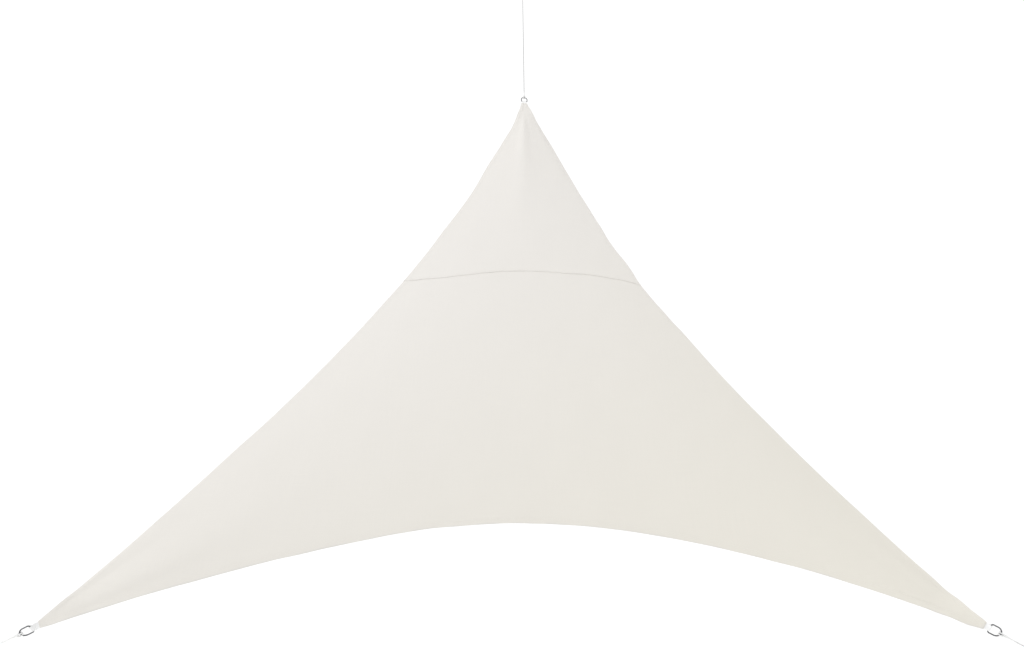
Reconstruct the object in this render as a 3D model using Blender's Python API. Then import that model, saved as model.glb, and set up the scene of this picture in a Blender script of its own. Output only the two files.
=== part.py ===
"""Shade sail: a triangular cloth with hollowed edges, held taut by three ropes.

The sail lies close to a plane that climbs away from its near edge.  Places on it are given in the
sail's own frame (u, s, n): u runs along the near edge to the right, s runs up the slope towards the
top corner, and n stands off the outer face.  to_world() turns that frame into world coordinates,
whose origin is the bearing point of the top rope's eye.

Two cloth panels meet in a lap seam.  Each corner has a webbing strap folded round the straight bar
of a D-ring.  A rope is spliced round the ring's bow, and ends in a spliced eye.
"""

import math
from typing import NamedTuple

import bmesh
import bpy
import numpy as np

# Sail, in metres and radians
SIDE = 3.6  # ring to ring along the near edge, the nominal size of an equilateral sail
RISE = SIDE * math.sqrt(3) / 2  # from the near edge's line to the top ring, up the slope
TOP_SHIFT = 0.082  # the top ring is pulled this far to the right
SLOPE = math.radians(55.15)

# Cloth
CLOTH_THICKNESS = 0.0017
HEM_THICKNESS = 0.0026
LAP_WIDTH = 0.016  # the lower panel reaches this far up under the upper one
LAP_EASE = 0.06  # each panel leaves the shared surface over this distance
GAP = 0.0003
TIP_GAP = 0.0008
SEAM_ON_LEFT = 0.5805  # where the seam meets the side edges, as shares of their length
SEAM_ON_RIGHT = 0.5705
SEAM_BOW = 0.038
COLUMNS = 24
LOWER_ROWS = 14
UPPER_ROWS = 11
ROW_CROWDING = 1.6  # rows and columns crowd towards the corners

# Relief of the taut cloth: ridges run from the corners, and the free edges hang below them
TENT_HEIGHT = 0.150
SAG_DEPTH = 0.170
FLAT_REACH = 0.11  # the cloth is flat this near to a ring
RELIEF_REACH = 0.22  # and has its full relief from here

# Webbing strap
STRAP_WIDTH = 0.025
STRAP_THICKNESS = 0.0015
STRAP_SPLIT = 0.0004  # between the strap's two legs
STRAP_TONGUE = 0.045  # sewn length under the cloth
STRAP_MEET = 0.010  # the legs come together this far behind the bar
TWIST_END = 0.18  # the corner's twist has died out this far from the ring

# D-ring, sizes to the middle of the wire
WIRE = 0.005
RING_WIDTH = 0.036
RING_LENGTH = 0.039
RING_CORNER = 0.006

# Rope and its splices
ROPE = 0.005
LOOP_GAP = 0.0005  # between the ring's wire and the rope round it
THROAT = 0.013  # from the middle of the ring's wire to the start of the splice
EYE_LENGTH = 0.060  # from the far splice to the end of its eye
EYE_WIDTH = 0.030
SPLICE_LENGTH = 0.020
SPLICE_WIDE = 0.0053  # half the splice's width where the two legs go in, and half its thickness
SPLICE_THICK = 0.0031
SPLICE_END = 0.0028  # its radius where the rope comes out
STRANDS = 3
STRAND_RELIEF = 0.05  # height of the strands' ridges, as a share of the radius
STRAND_TURNS = 0.8
LEG_SPACING = 0.0050  # between the middles of the two legs
ROPE_SIDES = 8
ROPE_POINTS = 76

LIFT = STRAP_SPLIT / 2 + STRAP_THICKNESS + TIP_GAP + HEM_THICKNESS / 2


class Edge(NamedTuple):
    """An edge's inward curve: depth * sin(pi t) ** power * (1 + skew (2 t - 1))."""

    depth: float
    power: float
    skew: float


LEFT_EDGE = Edge(depth=0.160, power=0.846, skew=0.330)
RIGHT_EDGE = Edge(depth=0.154, power=0.956, skew=-0.008)
NEAR_EDGE = Edge(depth=0.404, power=1.006, skew=0.084)


class Crease(NamedTuple):
    """A soft ridge that runs from a corner towards the middle of the sail."""

    height: float
    peak: float
    end: float


class Corner(NamedTuple):
    """A corner and what hangs on it.  Twists turn about the line of pull."""

    place: tuple
    strap: float  # visible strap, from the ring's bar to the cloth
    tip: float  # half the width of the cloth's blunt tip
    tip_twist: float
    ring_twist: float
    rope_swing: float  # how far the rope leans to the left of the line of pull
    crease: Crease
    route: tuple  # the rope's (distance from its splice, sag), with its far end last


# Each rope's points by hand: distance out of the splice, and how far it hangs below its straight line
TOP_ROUTE = (
    (0.000, 0.0000), (0.020, 0.0002), (0.050, 0.0005), (0.100, 0.0009), (0.170, 0.0015),
    (0.250, 0.0020), (0.340, 0.0025), (0.440, 0.0028), (0.540, 0.0030), (0.640, 0.0029),
    (0.740, 0.0026), (0.830, 0.0021), (0.910, 0.0016), (0.990, 0.0010), (1.050, 0.0005),
    (1.085, 0.0002), (1.105, 0.0000),
)  # fmt: skip
LEFT_ROUTE = (
    (0.000, 0.0000), (0.003, 0.0000), (0.006, 0.0001), (0.009, 0.0001), (0.012, 0.0002),
    (0.015, 0.0002), (0.019, 0.0003), (0.023, 0.0003), (0.027, 0.0003), (0.031, 0.0002),
    (0.034, 0.0002), (0.037, 0.0001), (0.040, 0.0001), (0.043, 0.0000), (0.046, 0.0000),
)  # fmt: skip
RIGHT_ROUTE = (
    (0.000, 0.0000), (0.004, 0.0001), (0.008, 0.0001), (0.012, 0.0002), (0.016, 0.0003),
    (0.020, 0.0003), (0.024, 0.0004), (0.028, 0.0004), (0.032, 0.0004), (0.037, 0.0003),
    (0.042, 0.0003), (0.046, 0.0002), (0.050, 0.0001), (0.055, 0.0001), (0.060, 0.0000),
)  # fmt: skip

CORNERS = {
    "top": Corner(
        place=(TOP_SHIFT, RISE),
        strap=0.022,
        tip=0.017,
        tip_twist=math.radians(4),
        ring_twist=math.radians(8),
        rope_swing=math.radians(1.1),
        crease=Crease(height=0.010, peak=0.35, end=1.30),
        route=TOP_ROUTE,
    ),
    "left": Corner(
        place=(-SIDE / 2, 0.0),
        strap=0.028,
        tip=0.0125,
        tip_twist=math.radians(-12),
        ring_twist=math.radians(-63),
        rope_swing=math.radians(-2.5),
        crease=Crease(height=0.007, peak=0.40, end=1.20),
        route=LEFT_ROUTE,
    ),
    "right": Corner(
        place=(SIDE / 2, 0.0015),
        strap=0.0185,
        tip=0.014,
        tip_twist=math.radians(35),
        ring_twist=math.radians(45),
        rope_swing=math.radians(-1.1),
        crease=Crease(height=0.007, peak=0.40, end=1.20),
        route=RIGHT_ROUTE,
    ),
}


def unit(vector):
    return vector / np.linalg.norm(vector)


def smooth(low, high, x):
    """0 below low, 1 above high, with a smooth step between."""
    t = np.clip((x - low) / (high - low), 0.0, 1.0)
    return t * t * (3 - 2 * t)


def turn_left(vector):
    return np.array([-vector[1], vector[0]])


def place_of(name):
    return np.array(CORNERS[name].place)


def pull_of(name):
    """The outward bisector of a corner, which its rope pulls along."""
    here = place_of(name)
    others = [place_of(other) for other in CORNERS if other != name]
    return -unit(sum(unit(other - here) for other in others))


def tip_ends(name):
    """The two ends of the cloth's blunt tip, the one on the left of the pull first."""
    corner = CORNERS[name]
    pull = pull_of(name)
    middle = place_of(name) - pull * (RING_LENGTH / 2 + corner.strap)
    return middle + turn_left(pull) * corner.tip, middle - turn_left(pull) * corner.tip


def edge_offset(edge, t):
    return edge.depth * np.sin(np.pi * t) ** edge.power * (1 + edge.skew * (2 * t - 1))


def edge_points(start, end, edge, t):
    """Points on a hollowed edge from start to end, which has the sail's middle on its left if start
    and end run round the sail to the left."""
    t = np.asarray(t, float)
    chord = end - start
    middle = (place_of("top") + place_of("left") + place_of("right")) / 3
    inward = turn_left(unit(chord))
    inward = inward * np.sign(np.dot(inward, middle - start))
    return start + t[:, None] * chord + edge_offset(edge, t)[:, None] * inward


def left_edge(t):
    return edge_points(tip_ends("left")[1], tip_ends("top")[0], LEFT_EDGE, [t])[0]


def right_edge(t):
    return edge_points(tip_ends("right")[0], tip_ends("top")[1], RIGHT_EDGE, [t])[0]


def near_edge(across):
    return edge_points(tip_ends("left")[0], tip_ends("right")[1], NEAR_EDGE, across)


def row_points(v, across):
    """A row of the cloth.  v is 0 at the near tips, 1 at the seam and 2 at the top tip."""
    if v <= 1:
        left, right = left_edge(v * SEAM_ON_LEFT), right_edge(v * SEAM_ON_RIGHT)
        bow = (1 - v) * edge_offset(NEAR_EDGE, across) + v * SEAM_BOW * np.sin(np.pi * across)
    else:
        left = left_edge(SEAM_ON_LEFT + (v - 1) * (1 - SEAM_ON_LEFT))
        right = right_edge(SEAM_ON_RIGHT + (v - 1) * (1 - SEAM_ON_RIGHT))
        bow = (2 - v) * SEAM_BOW * np.sin(np.pi * across)
    inward = turn_left(unit(right - left))
    return left + across[:, None] * (right - left) + bow[:, None] * inward


def shares(points):
    """How much each point belongs to the left, right and top corners; the three add up to 1."""
    left, right, top = place_of("left"), place_of("right"), place_of("top")
    basis = np.stack([left - top, right - top], axis=1)
    first_two = np.linalg.solve(basis, (points - top).T).T
    return first_two[:, 0], first_two[:, 1], 1 - first_two.sum(axis=1)


def corner_coordinates(points, name):
    """Distance in from the ring along the pull, and distance across to the left of the pull."""
    offset = points - place_of(name)
    return -offset @ pull_of(name), offset @ turn_left(pull_of(name))


def relief(points):
    """Height of the cloth off the rings' plane: a tent over the corners less a general sag."""
    left, right, top = shares(points)
    pairs = left * right + right * top + top * left
    height = TENT_HEIGHT * 9 * left * right * top / pairs - SAG_DEPTH * 3 * pairs
    for name, corner in CORNERS.items():
        distance = np.linalg.norm(points - place_of(name), axis=1)
        height = height * smooth(FLAT_REACH, RELIEF_REACH, distance)
    for name, corner in CORNERS.items():
        inward, across = corner_coordinates(points, name)
        crease = corner.crease
        along = smooth(FLAT_REACH, crease.peak, inward) * (1 - smooth(crease.peak, crease.end, inward))
        half_width = 0.02 + 0.10 * np.abs(inward)
        height = height + crease.height * along * np.exp(-((across / half_width) ** 2))
    return height + LIFT


def twist_at(name, inward):
    """The turn about the pull line at a distance in from the ring."""
    corner = CORNERS[name]
    bar = RING_LENGTH / 2
    tip = bar + corner.strap
    to_tip = smooth(bar, tip, inward)
    beyond = 1 - smooth(tip, TWIST_END, inward)
    return (corner.ring_twist + (corner.tip_twist - corner.ring_twist) * to_tip) * beyond


def in_corner(name, inward, across, height):
    """Sail coordinates of points given in a corner's own frame, turned by the corner's twist."""
    turn = twist_at(name, inward)
    side = across * np.cos(turn) - height * np.sin(turn)
    rise = across * np.sin(turn) + height * np.cos(turn)
    flat = place_of(name) - np.outer(inward, pull_of(name)) + np.outer(side, turn_left(pull_of(name)))
    return np.column_stack([flat, rise])


def twisted(points, height):
    """Cloth points with the corners' twists put in."""
    placed = np.column_stack([points, height])
    for name in CORNERS:
        inward, across = corner_coordinates(points, name)
        near = np.linalg.norm(points - place_of(name), axis=1) < TWIST_END
        placed[near] = in_corner(name, inward[near], across[near], height[near])
    return placed


def from_base(points):
    """World directions of sail coordinates, measured from the middle of the near edge's line."""
    points = np.atleast_2d(points)
    across, up, out = points[:, 0], points[:, 1], points[:, 2]
    level = up * math.cos(SLOPE) - out * math.sin(SLOPE)
    rise = up * math.sin(SLOPE) + out * math.cos(SLOPE)
    return np.column_stack([across, level, rise])


def ring_axes(name):
    """Sail coordinates of a ring's centre, and its axes along the pull, across and out."""
    turn = CORNERS[name].ring_twist
    side = turn_left(pull_of(name))
    pull = np.append(pull_of(name), 0.0)
    across = np.append(side * math.cos(turn), math.sin(turn))
    out = np.append(-side * math.sin(turn), math.cos(turn))
    return np.append(place_of(name), 0.0), pull, across, out


def rope_axes(name):
    """Sail coordinates of the middle of a ring's bow, and axes along its rope, across and out."""
    centre, pull, across, out = ring_axes(name)
    swing = CORNERS[name].rope_swing
    along = pull * math.cos(swing) + across * math.sin(swing)
    sideways = across * math.cos(swing) - pull * math.sin(swing)
    return centre + pull * (RING_LENGTH - RING_WIDTH) / 2, along, sideways, out


# Distances along a rope from the middle of its ring's bow
BOW = RING_WIDTH / 2
SPLICE_START = BOW + THROAT
ROPE_START = SPLICE_START + SPLICE_LENGTH + GAP


def eye_start(name):
    return ROPE_START + CORNERS[name].route[-1][0] + GAP


def eye_bearing(name):
    """Sail coordinates of the point inside the eye that takes the pull."""
    middle, along, _, _ = rope_axes(name)
    return middle + along * (eye_start(name) + SPLICE_LENGTH + EYE_LENGTH - ROPE)


ORIGIN = from_base(eye_bearing("top"))[0]


def to_world(points):
    return from_base(points) - ORIGIN


def in_world(frame):
    """World place and axes of a frame given in sail coordinates."""
    centre, *axes = frame
    return to_world(centre)[0], *(from_base(axis)[0] for axis in axes)


def material(name, colour, roughness, metallic=0.0):
    made = bpy.data.materials.new(name)
    made.use_nodes = True
    shader = made.node_tree.nodes["Principled BSDF"]
    shader.inputs["Base Color"].default_value = (*colour, 1.0)
    shader.inputs["Roughness"].default_value = roughness
    shader.inputs["Metallic"].default_value = metallic
    return made


def new_object(name, data, finish):
    obj = bpy.data.objects.new(name, data)
    data.materials.append(finish)
    bpy.context.scene.collection.objects.link(obj)
    return obj


def grid_mesh(name, rows):
    """A mesh of quads over a list of equally long rows of world points."""
    mesh = bpy.data.meshes.new(name)
    bm = bmesh.new()
    verts = [[bm.verts.new(point) for point in row] for row in rows]
    for low, high in zip(verts, verts[1:]):
        for i in range(len(low) - 1):
            bm.faces.new((low[i], low[i + 1], high[i + 1], high[i]))
    bm.to_mesh(mesh)
    bm.free()
    return mesh


def thicken(obj, thickness, thinnest=None, thick_verts=()):
    """Solidify to both sides; thick_verts keep the full thickness and the rest get the thinnest."""
    solidify = obj.modifiers.new("thickness", "SOLIDIFY")
    solidify.thickness = thickness
    solidify.offset = 0.0
    if thinnest is not None:
        group = obj.vertex_groups.new(name="hem")
        group.add(list(thick_verts), 1.0, "REPLACE")
        solidify.vertex_group = group.name
        solidify.thickness_vertex_group = thinnest / thickness


def cloth_panel(name, finish, row_values, lap_side, has_near_edge):
    """One panel: rows of cloth at row_values, its lapped rows moved to lap_side of the surface."""
    across = (1 - np.cos(np.pi * np.linspace(0, 1, COLUMNS + 1))) / 2
    lap_top = 1 + LAP_WIDTH / upper_length()
    rows = []
    thick = []
    flat_rows = [(None, near_edge(across))] if has_near_edge else []
    flat_rows += [(v, row_points(v, across)) for v in row_values]
    for index, (v, flat) in enumerate(flat_rows):
        hem = np.zeros(COLUMNS + 1, bool)
        hem[[0, 1, -2, -1]] = True
        if v is None or v == 0 or v == 2:
            hem[:] = True
        local = np.where(hem, HEM_THICKNESS, CLOTH_THICKNESS)
        height = relief(flat)
        if v is not None and 1 <= v <= lap_top + 1e-9:
            height = height + lap_side * (local + GAP) / 2
        rows.append(to_world(twisted(flat, height)))
        thick += [index * (COLUMNS + 1) + i for i in range(COLUMNS + 1) if hem[i]]
    panel = new_object(name, grid_mesh(name, rows), finish)
    thicken(panel, HEM_THICKNESS, CLOTH_THICKNESS, thick)
    return panel


def lower_length():
    return np.linalg.norm(left_edge(SEAM_ON_LEFT) - left_edge(0.0))


def upper_length():
    return np.linalg.norm(left_edge(1.0) - left_edge(SEAM_ON_LEFT))


def lower_panel(finish):
    ease = 1 - LAP_EASE / lower_length()
    spread = np.linspace(0, 1, LOWER_ROWS) ** ROW_CROWDING * ease
    values = [*spread, 1.0, 1 + LAP_WIDTH / upper_length()]
    return cloth_panel("lower_panel", finish, values, -1, has_near_edge=True)


def upper_panel(finish):
    ease = LAP_EASE / upper_length()
    spread = 2 - np.linspace(1, 0, UPPER_ROWS) ** ROW_CROWDING * (1 - ease)
    values = [1.0, 1 + LAP_WIDTH / upper_length(), *spread]
    return cloth_panel("upper_panel", finish, values, 1, has_near_edge=False)


def strap(name, finish):
    """A strip that runs out under the cloth, round the ring's bar and back."""
    bar = RING_LENGTH / 2
    leg = (STRAP_SPLIT + STRAP_THICKNESS) / 2
    radius = WIRE / 2 + GAP + STRAP_THICKNESS / 2
    end = bar + CORNERS[name].strap + STRAP_TONGUE
    straight = np.linspace(end, bar + STRAP_MEET, 12)
    swing = np.radians(np.arange(50, 311, 20))
    inward = np.concatenate([straight, bar + radius * np.cos(swing), straight[::-1]])
    height = np.concatenate([np.full(12, leg), radius * np.sin(swing), np.full(12, -leg)])
    across = np.linspace(-STRAP_WIDTH / 2, STRAP_WIDTH / 2, 5)
    rows = [
        to_world(in_corner(name, np.full(5, q), across, np.full(5, h))) for q, h in zip(inward, height)
    ]
    made = new_object(f"strap_{name}", grid_mesh(f"strap_{name}", rows), finish)
    thicken(made, STRAP_THICKNESS)
    return made


def tube(name, points, radius, sides, closed, finish):
    curve = bpy.data.curves.new(name, "CURVE")
    curve.dimensions = "3D"
    curve.bevel_depth = radius
    curve.bevel_resolution = (sides - 4) // 2
    curve.use_fill_caps = not closed
    spline = curve.splines.new("POLY")
    spline.points.add(len(points) - 1)
    for spot, point in zip(spline.points, points):
        spot.co = (*point, 1.0)
    spline.use_cyclic_u = closed
    return new_object(name, curve, finish)


def arc(centre, radius, first, last, steps):
    angles = np.radians(np.linspace(first, last, steps + 1))
    return [(centre[0] + radius * math.cos(a), centre[1] + radius * math.sin(a)) for a in angles]


def ring(name, finish):
    """A D: a straight bar with rounded corners, two short sides and a half-round bow."""
    half, end = RING_WIDTH / 2, RING_LENGTH / 2
    corner = RING_CORNER
    outline = arc((end - half, 0), half, -90, 90, 16)
    outline += arc((-end + corner, half - corner), corner, 90, 180, 4)
    outline += arc((-end + corner, -half + corner), corner, 180, 270, 4)
    middle, pull, across, _ = in_world(ring_axes(name))
    points = [middle + x * pull + y * across for x, y in outline]
    return tube(f"ring_{name}", points, WIRE / 2, 10, True, finish)


def splice_mesh(name, start, along, wide, thin):
    """Two rope legs laid into one: an oval that narrows to the rope, ridged by its strands."""
    stations = np.linspace(0, 1, 11)
    angles = np.linspace(0, 2 * math.pi, 18, endpoint=False)
    x, angle = np.meshgrid(stations, angles, indexing="ij")
    narrowing = smooth(0, 1, x)
    strands = 1 + STRAND_RELIEF * np.cos(STRANDS * (angle + 2 * math.pi * STRAND_TURNS * x))
    half_width = (SPLICE_WIDE + (SPLICE_END - SPLICE_WIDE) * narrowing) * strands
    half_thickness = (SPLICE_THICK + (SPLICE_END - SPLICE_THICK) * narrowing) * strands
    points = (
        start
        + (x * SPLICE_LENGTH)[..., None] * along
        + (half_width * np.cos(angle))[..., None] * wide
        + (half_thickness * np.sin(angle))[..., None] * thin
    )
    mesh = bpy.data.meshes.new(name)
    bm = bmesh.new()
    rows = [[bm.verts.new(point) for point in row] for row in points]
    for low, high in zip(rows, rows[1:]):
        for i in range(len(low)):
            j = (i + 1) % len(low)
            bm.faces.new((low[i], low[j], high[j], high[i]))
    bm.faces.new(rows[0][::-1])
    bm.faces.new(rows[-1])
    bmesh.ops.recalc_face_normals(bm, faces=bm.faces)
    bm.to_mesh(mesh)
    bm.free()
    return mesh


def spliced_loop(name, loop, splice, finish):
    """A rope loop joined to its splice as one solid."""
    loop_curve = tube(f"{name}_loop", loop, ROPE / 2, ROPE_SIDES, False, finish)
    graph = bpy.context.evaluated_depsgraph_get()
    loop_mesh = bpy.data.meshes.new_from_object(loop_curve.evaluated_get(graph))
    bpy.data.objects.remove(loop_curve)
    helper = new_object(f"{name}_loop", loop_mesh, finish)
    weld = helper.modifiers.new("weld", "WELD")
    weld.merge_threshold = 0.00001
    helper.hide_render = True
    helper.display_type = "WIRE"
    made = new_object(name, splice, finish)
    join = made.modifiers.new("join", "BOOLEAN")
    join.operation = "UNION"
    join.object = helper
    return made


def splice(name, finish):
    """The rope's turn round the ring's bow, and the splice that closes it."""
    middle, along, across, out = in_world(rope_axes(name))
    radius = WIRE / 2 + LOOP_GAP + ROPE / 2
    leg = LEG_SPACING / 2
    inside = SPLICE_START + ROPE
    outgoing = [(SPLICE_START - 0.35 * THROAT, leg * 1.2), (SPLICE_START, leg), (inside, leg)]
    route = [*outgoing[::-1], *arc((BOW, 0), radius, 60, 300, 12)]
    route += [(x, -z) for x, z in outgoing]
    loop = [middle + x * along + z * out for x, z in route]
    body = splice_mesh(f"splice_{name}", middle + SPLICE_START * along, along, out, across)
    return spliced_loop(f"splice_{name}", loop, body, finish)


def eye(name, finish):
    """The spliced eye at the rope's far end."""
    middle, along, across, out = in_world(rope_axes(name))
    mouth = eye_start(name) + SPLICE_LENGTH
    half = EYE_WIDTH / 2
    end = mouth + EYE_LENGTH - ROPE / 2
    leg = LEG_SPACING / 2
    side = [(mouth - ROPE, leg), (mouth, leg)]
    side += [(mouth + 0.2 * EYE_LENGTH, leg + 0.28 * half), (mouth + 0.4 * EYE_LENGTH, leg + 0.62 * half)]
    route = [*side, *arc((end - half, 0), half, 70, -70, 12), *((x, -y) for x, y in side[::-1])]
    loop = [middle + x * along + y * across for x, y in route]
    body = splice_mesh(f"eye_{name}", middle + mouth * along, -along, across, out)
    return spliced_loop(f"eye_{name}", loop, body, finish)


def rope(name, finish):
    """The taut rope, read from a smooth curve through its route's points."""
    route = np.array(CORNERS[name].route)
    distance = np.linspace(0, route[-1, 0], min(ROPE_POINTS, 2 + int(route[-1, 0] / (2.5 * ROPE))))
    slopes = np.gradient(route[:, 1], route[:, 0])
    span = np.clip(np.searchsorted(route[:, 0], distance) - 1, 0, len(route) - 2)
    x0, x1 = route[span, 0], route[span + 1, 0]
    t = (distance - x0) / (x1 - x0)
    width = x1 - x0
    sag = (
        (2 * t**3 - 3 * t**2 + 1) * route[span, 1]
        + (t**3 - 2 * t**2 + t) * width * slopes[span]
        + (3 * t**2 - 2 * t**3) * route[span + 1, 1]
        + (t**3 - t**2) * width * slopes[span + 1]
    )
    middle, along, _, _ = in_world(rope_axes(name))
    start = middle + ROPE_START * along
    points = start + distance[:, None] * along - sag[:, None] * np.array([0.0, 0.0, 1.0])
    return tube(f"rope_{name}", points, ROPE / 2, ROPE_SIDES, False, finish)


def main():
    for obj in list(bpy.data.objects):
        bpy.data.objects.remove(obj)
    cloth = material("cream cloth", (0.83, 0.81, 0.76), 0.75)
    webbing = material("white webbing", (0.86, 0.86, 0.86), 0.80)
    steel = material("steel wire", (0.20, 0.20, 0.21), 0.35, metallic=1.0)
    cord = material("white rope", (0.88, 0.88, 0.87), 0.80)
    upper_panel(cloth)
    lower_panel(cloth)
    for name in CORNERS:
        strap(name, webbing)
        ring(name, steel)
        splice(name, cord)
        rope(name, cord)
        eye(name, cord)


main()
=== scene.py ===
"""Shade sail: the finish of its cloth, sewing, webbing, rings and ropes, in a plain studio.

Places on the sail are given in its own frame (u, s, n): u runs along the near edge to the right, s
runs up the slope to the top corner, and n stands off the outer face.  A place on the cloth is also
(v, a): v is -1 on the near edge, 0 on the inner side of its hem, 1 on the seam and 2 on the top
tip, and a runs from 0 on the left edge to 1 on the right edge.  Sizes are in metres.
"""

import math
from typing import NamedTuple

import bpy
import mathutils
import numpy as np
from bpy.props import FloatProperty, FloatVectorProperty, PointerProperty
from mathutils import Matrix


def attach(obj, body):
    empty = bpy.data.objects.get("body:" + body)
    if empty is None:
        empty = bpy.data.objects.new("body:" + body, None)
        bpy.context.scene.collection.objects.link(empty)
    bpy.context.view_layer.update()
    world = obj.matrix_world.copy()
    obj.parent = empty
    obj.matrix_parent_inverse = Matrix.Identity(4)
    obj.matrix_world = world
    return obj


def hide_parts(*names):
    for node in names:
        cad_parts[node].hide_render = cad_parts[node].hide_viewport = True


bl_info = {
    "name": "Shade Sail",
    "version": (1, 0, 0),
    "blender": (4, 5, 0),
    "location": "View3D > Sidebar > Shade Sail",
    "description": "Finishes a triangular shade sail, its rings and its ropes, and sets up a studio",
    "category": "Object",
}

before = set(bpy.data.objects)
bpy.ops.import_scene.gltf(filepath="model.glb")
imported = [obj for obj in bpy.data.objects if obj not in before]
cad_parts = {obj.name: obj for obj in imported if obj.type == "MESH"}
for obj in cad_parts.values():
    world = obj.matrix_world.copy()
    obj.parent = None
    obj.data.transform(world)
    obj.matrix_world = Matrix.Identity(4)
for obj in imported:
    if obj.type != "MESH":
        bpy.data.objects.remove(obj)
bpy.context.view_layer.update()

# Sail
SIDE = 3.6
RISE = SIDE * math.sqrt(3) / 2
TOP_SHIFT = 0.082
SLOPE = math.radians(55.15)

# Cloth
CAD_HEM = 0.0026
TIP_GAP = 0.0008
LAP_WIDTH = 0.016
LAP_EASE = 0.06
SEAM_ON_LEFT = 0.5805
SEAM_ON_RIGHT = 0.5705
SEAM_BOW = 0.038
SEAM_PULLS = (  # how far the seam lies above its bow, in millimetres, at some a
    (0, 0), (0.06, -9), (0.18, -18), (0.26, -16), (0.36, -9), (0.42, -2), (0.55, 1), (0.68, -1),
    (0.78, 8), (0.92, 7), (1, 0),
)

# Relief of the taut cloth
TENT_HEIGHT = 0.150
SAG_DEPTH = 0.170
FLAT_REACH = 0.11  # from a ring, the relief is flat to here, and whole from RELIEF_REACH on
RELIEF_REACH = 0.22
CREASE_WIDTH = 0.02  # half the width of a corner's soft ridge at its ring
CREASE_SPREAD = 0.10  # what each metre further in adds to it
RIDGE_SLOPE = 0.023  # each side of the pulled ridge that runs down from the top tip
RIDGE_WIDTH = 0.16
RIDGE_ROUND = 0.006
RIDGE_END = 1.5
FOLD_HEIGHT = 0.0014  # of the small pull folds that fan out of each corner
FOLD_SPREAD = 11.0  # folds in half a turn about the ring
FOLD_PEAK = 0.26
FOLD_END = 0.95
DRIFT_HEIGHT = 0.0016  # of the long uneven waves all over the cloth
DRIFTS = ((0.4, 2.3, 0.3), (1.3, 3.1, 1.9), (2.2, 4.3, 4.1), (2.9, 5.9, 2.6))  # turn, waves a metre, shift
GATHER_HEIGHT = 0.0022
GATHER_REACH = 0.06
PUCKER_HEIGHT = 0.0005
PUCKER_PITCH = 0.045
PUCKER_REACH = 0.018

# Webbing strap
STRAP_WIDTH = 0.025
STRAP_THICKNESS = 0.0015
STRAP_SPLIT = 0.0004
STRAP_TONGUE = 0.045
STRAP_MEET = 0.010
TWIST_END = 0.18
GAP = 0.0003
LIFT = STRAP_SPLIT / 2 + STRAP_THICKNESS + TIP_GAP + CAD_HEM / 2

# D-ring, sizes to the middle of the wire
WIRE = 0.005
RING_WIDTH = 0.036
RING_LENGTH = 0.039
RING_CORNER = 0.006
BAR = RING_LENGTH / 2  # from the ring's middle

# Rope and its splices
ROPE = 0.005
THROAT = 0.013
EYE_LENGTH = 0.060
EYE_WIDTH = 0.030
SPLICE_LENGTH = 0.020
SPLICE_WIDE = 0.0053
SPLICE_THICK = 0.0031
SPLICE_END = 0.0028
LEG_SPACING = 0.0050
SPLICE_START = RING_WIDTH / 2 + THROAT
ROPE_START = SPLICE_START + SPLICE_LENGTH + GAP

# Camera, from the middle of the line between the near rings
CAMERA_ASIDE = 0.0048
CAMERA_BACK = 2.535
CAMERA_ABOVE = 1.143


class Edge(NamedTuple):
    """An edge's inward curve, depth * sin(pi t) ** power * (1 + skew (2 t - 1)), and the small
    uneven pulls of its hem: how far it lies in or out of that curve, in millimetres, at some t."""

    depth: float
    power: float
    skew: float
    pulls: tuple


LEFT_EDGE = Edge(depth=0.160, power=0.846, skew=0.330, pulls=(
    (0, 0), (0.02, 3), (0.05, 0), (0.1, 1.4), (0.15, 0.5), (0.2, -2.5), (0.25, -2.1), (0.3, 0.8),
    (0.37, 2.8), (0.41, 3), (0.46, 1.2), (0.52, 0.5), (0.58, 1.2), (0.64, 0.5), (0.69, -2.5),
    (0.74, 1.3), (0.78, 3.6), (0.845, -6.2), (0.9, 1), (0.94, 8.5), (0.98, 4), (1, 0),
))
RIGHT_EDGE = Edge(depth=0.154, power=0.956, skew=-0.008, pulls=(
    (0, 0), (0.02, 9.7), (0.035, 8.8), (0.06, 2.3), (0.08, 3.5), (0.12, 1.2), (0.16, -1.8),
    (0.2, -0.8), (0.24, -2.9), (0.29, -4.1), (0.34, -2.7), (0.38, -3.1), (0.44, -4.2), (0.47, -3.4),
    (0.5, 3.5), (0.545, 9.8), (0.575, 11.9), (0.6, 3), (0.615, 0.8), (0.65, 7.8), (0.665, 8),
    (0.7, -1), (0.76, -4.5), (0.82, -8), (0.885, -10.4), (0.93, -5), (0.96, -1), (1, 0),
))
NEAR_EDGE = Edge(depth=0.404, power=1.006, skew=0.084, pulls=(
    (0, 0), (0.01, -1), (0.02, 0.1), (0.05, 4.8), (0.095, 7.6), (0.125, 6.6), (0.15, 5.1), (0.2, 3.9),
    (0.23, 3.1), (0.26, 0.3), (0.29, 1.4), (0.33, 2.1), (0.37, 4.7), (0.41, 7.7), (0.44, 5.5),
    (0.5, 6.1), (0.53, 4.3), (0.57, 2.8), (0.62, 1.1), (0.67, -0.6), (0.75, -0.1), (0.79, 1.7),
    (0.83, 5.3), (0.87, 5.1), (0.9, 5.3), (0.945, 4.1), (0.965, -0.1), (0.985, -3.9), (1, 0),
))

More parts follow.
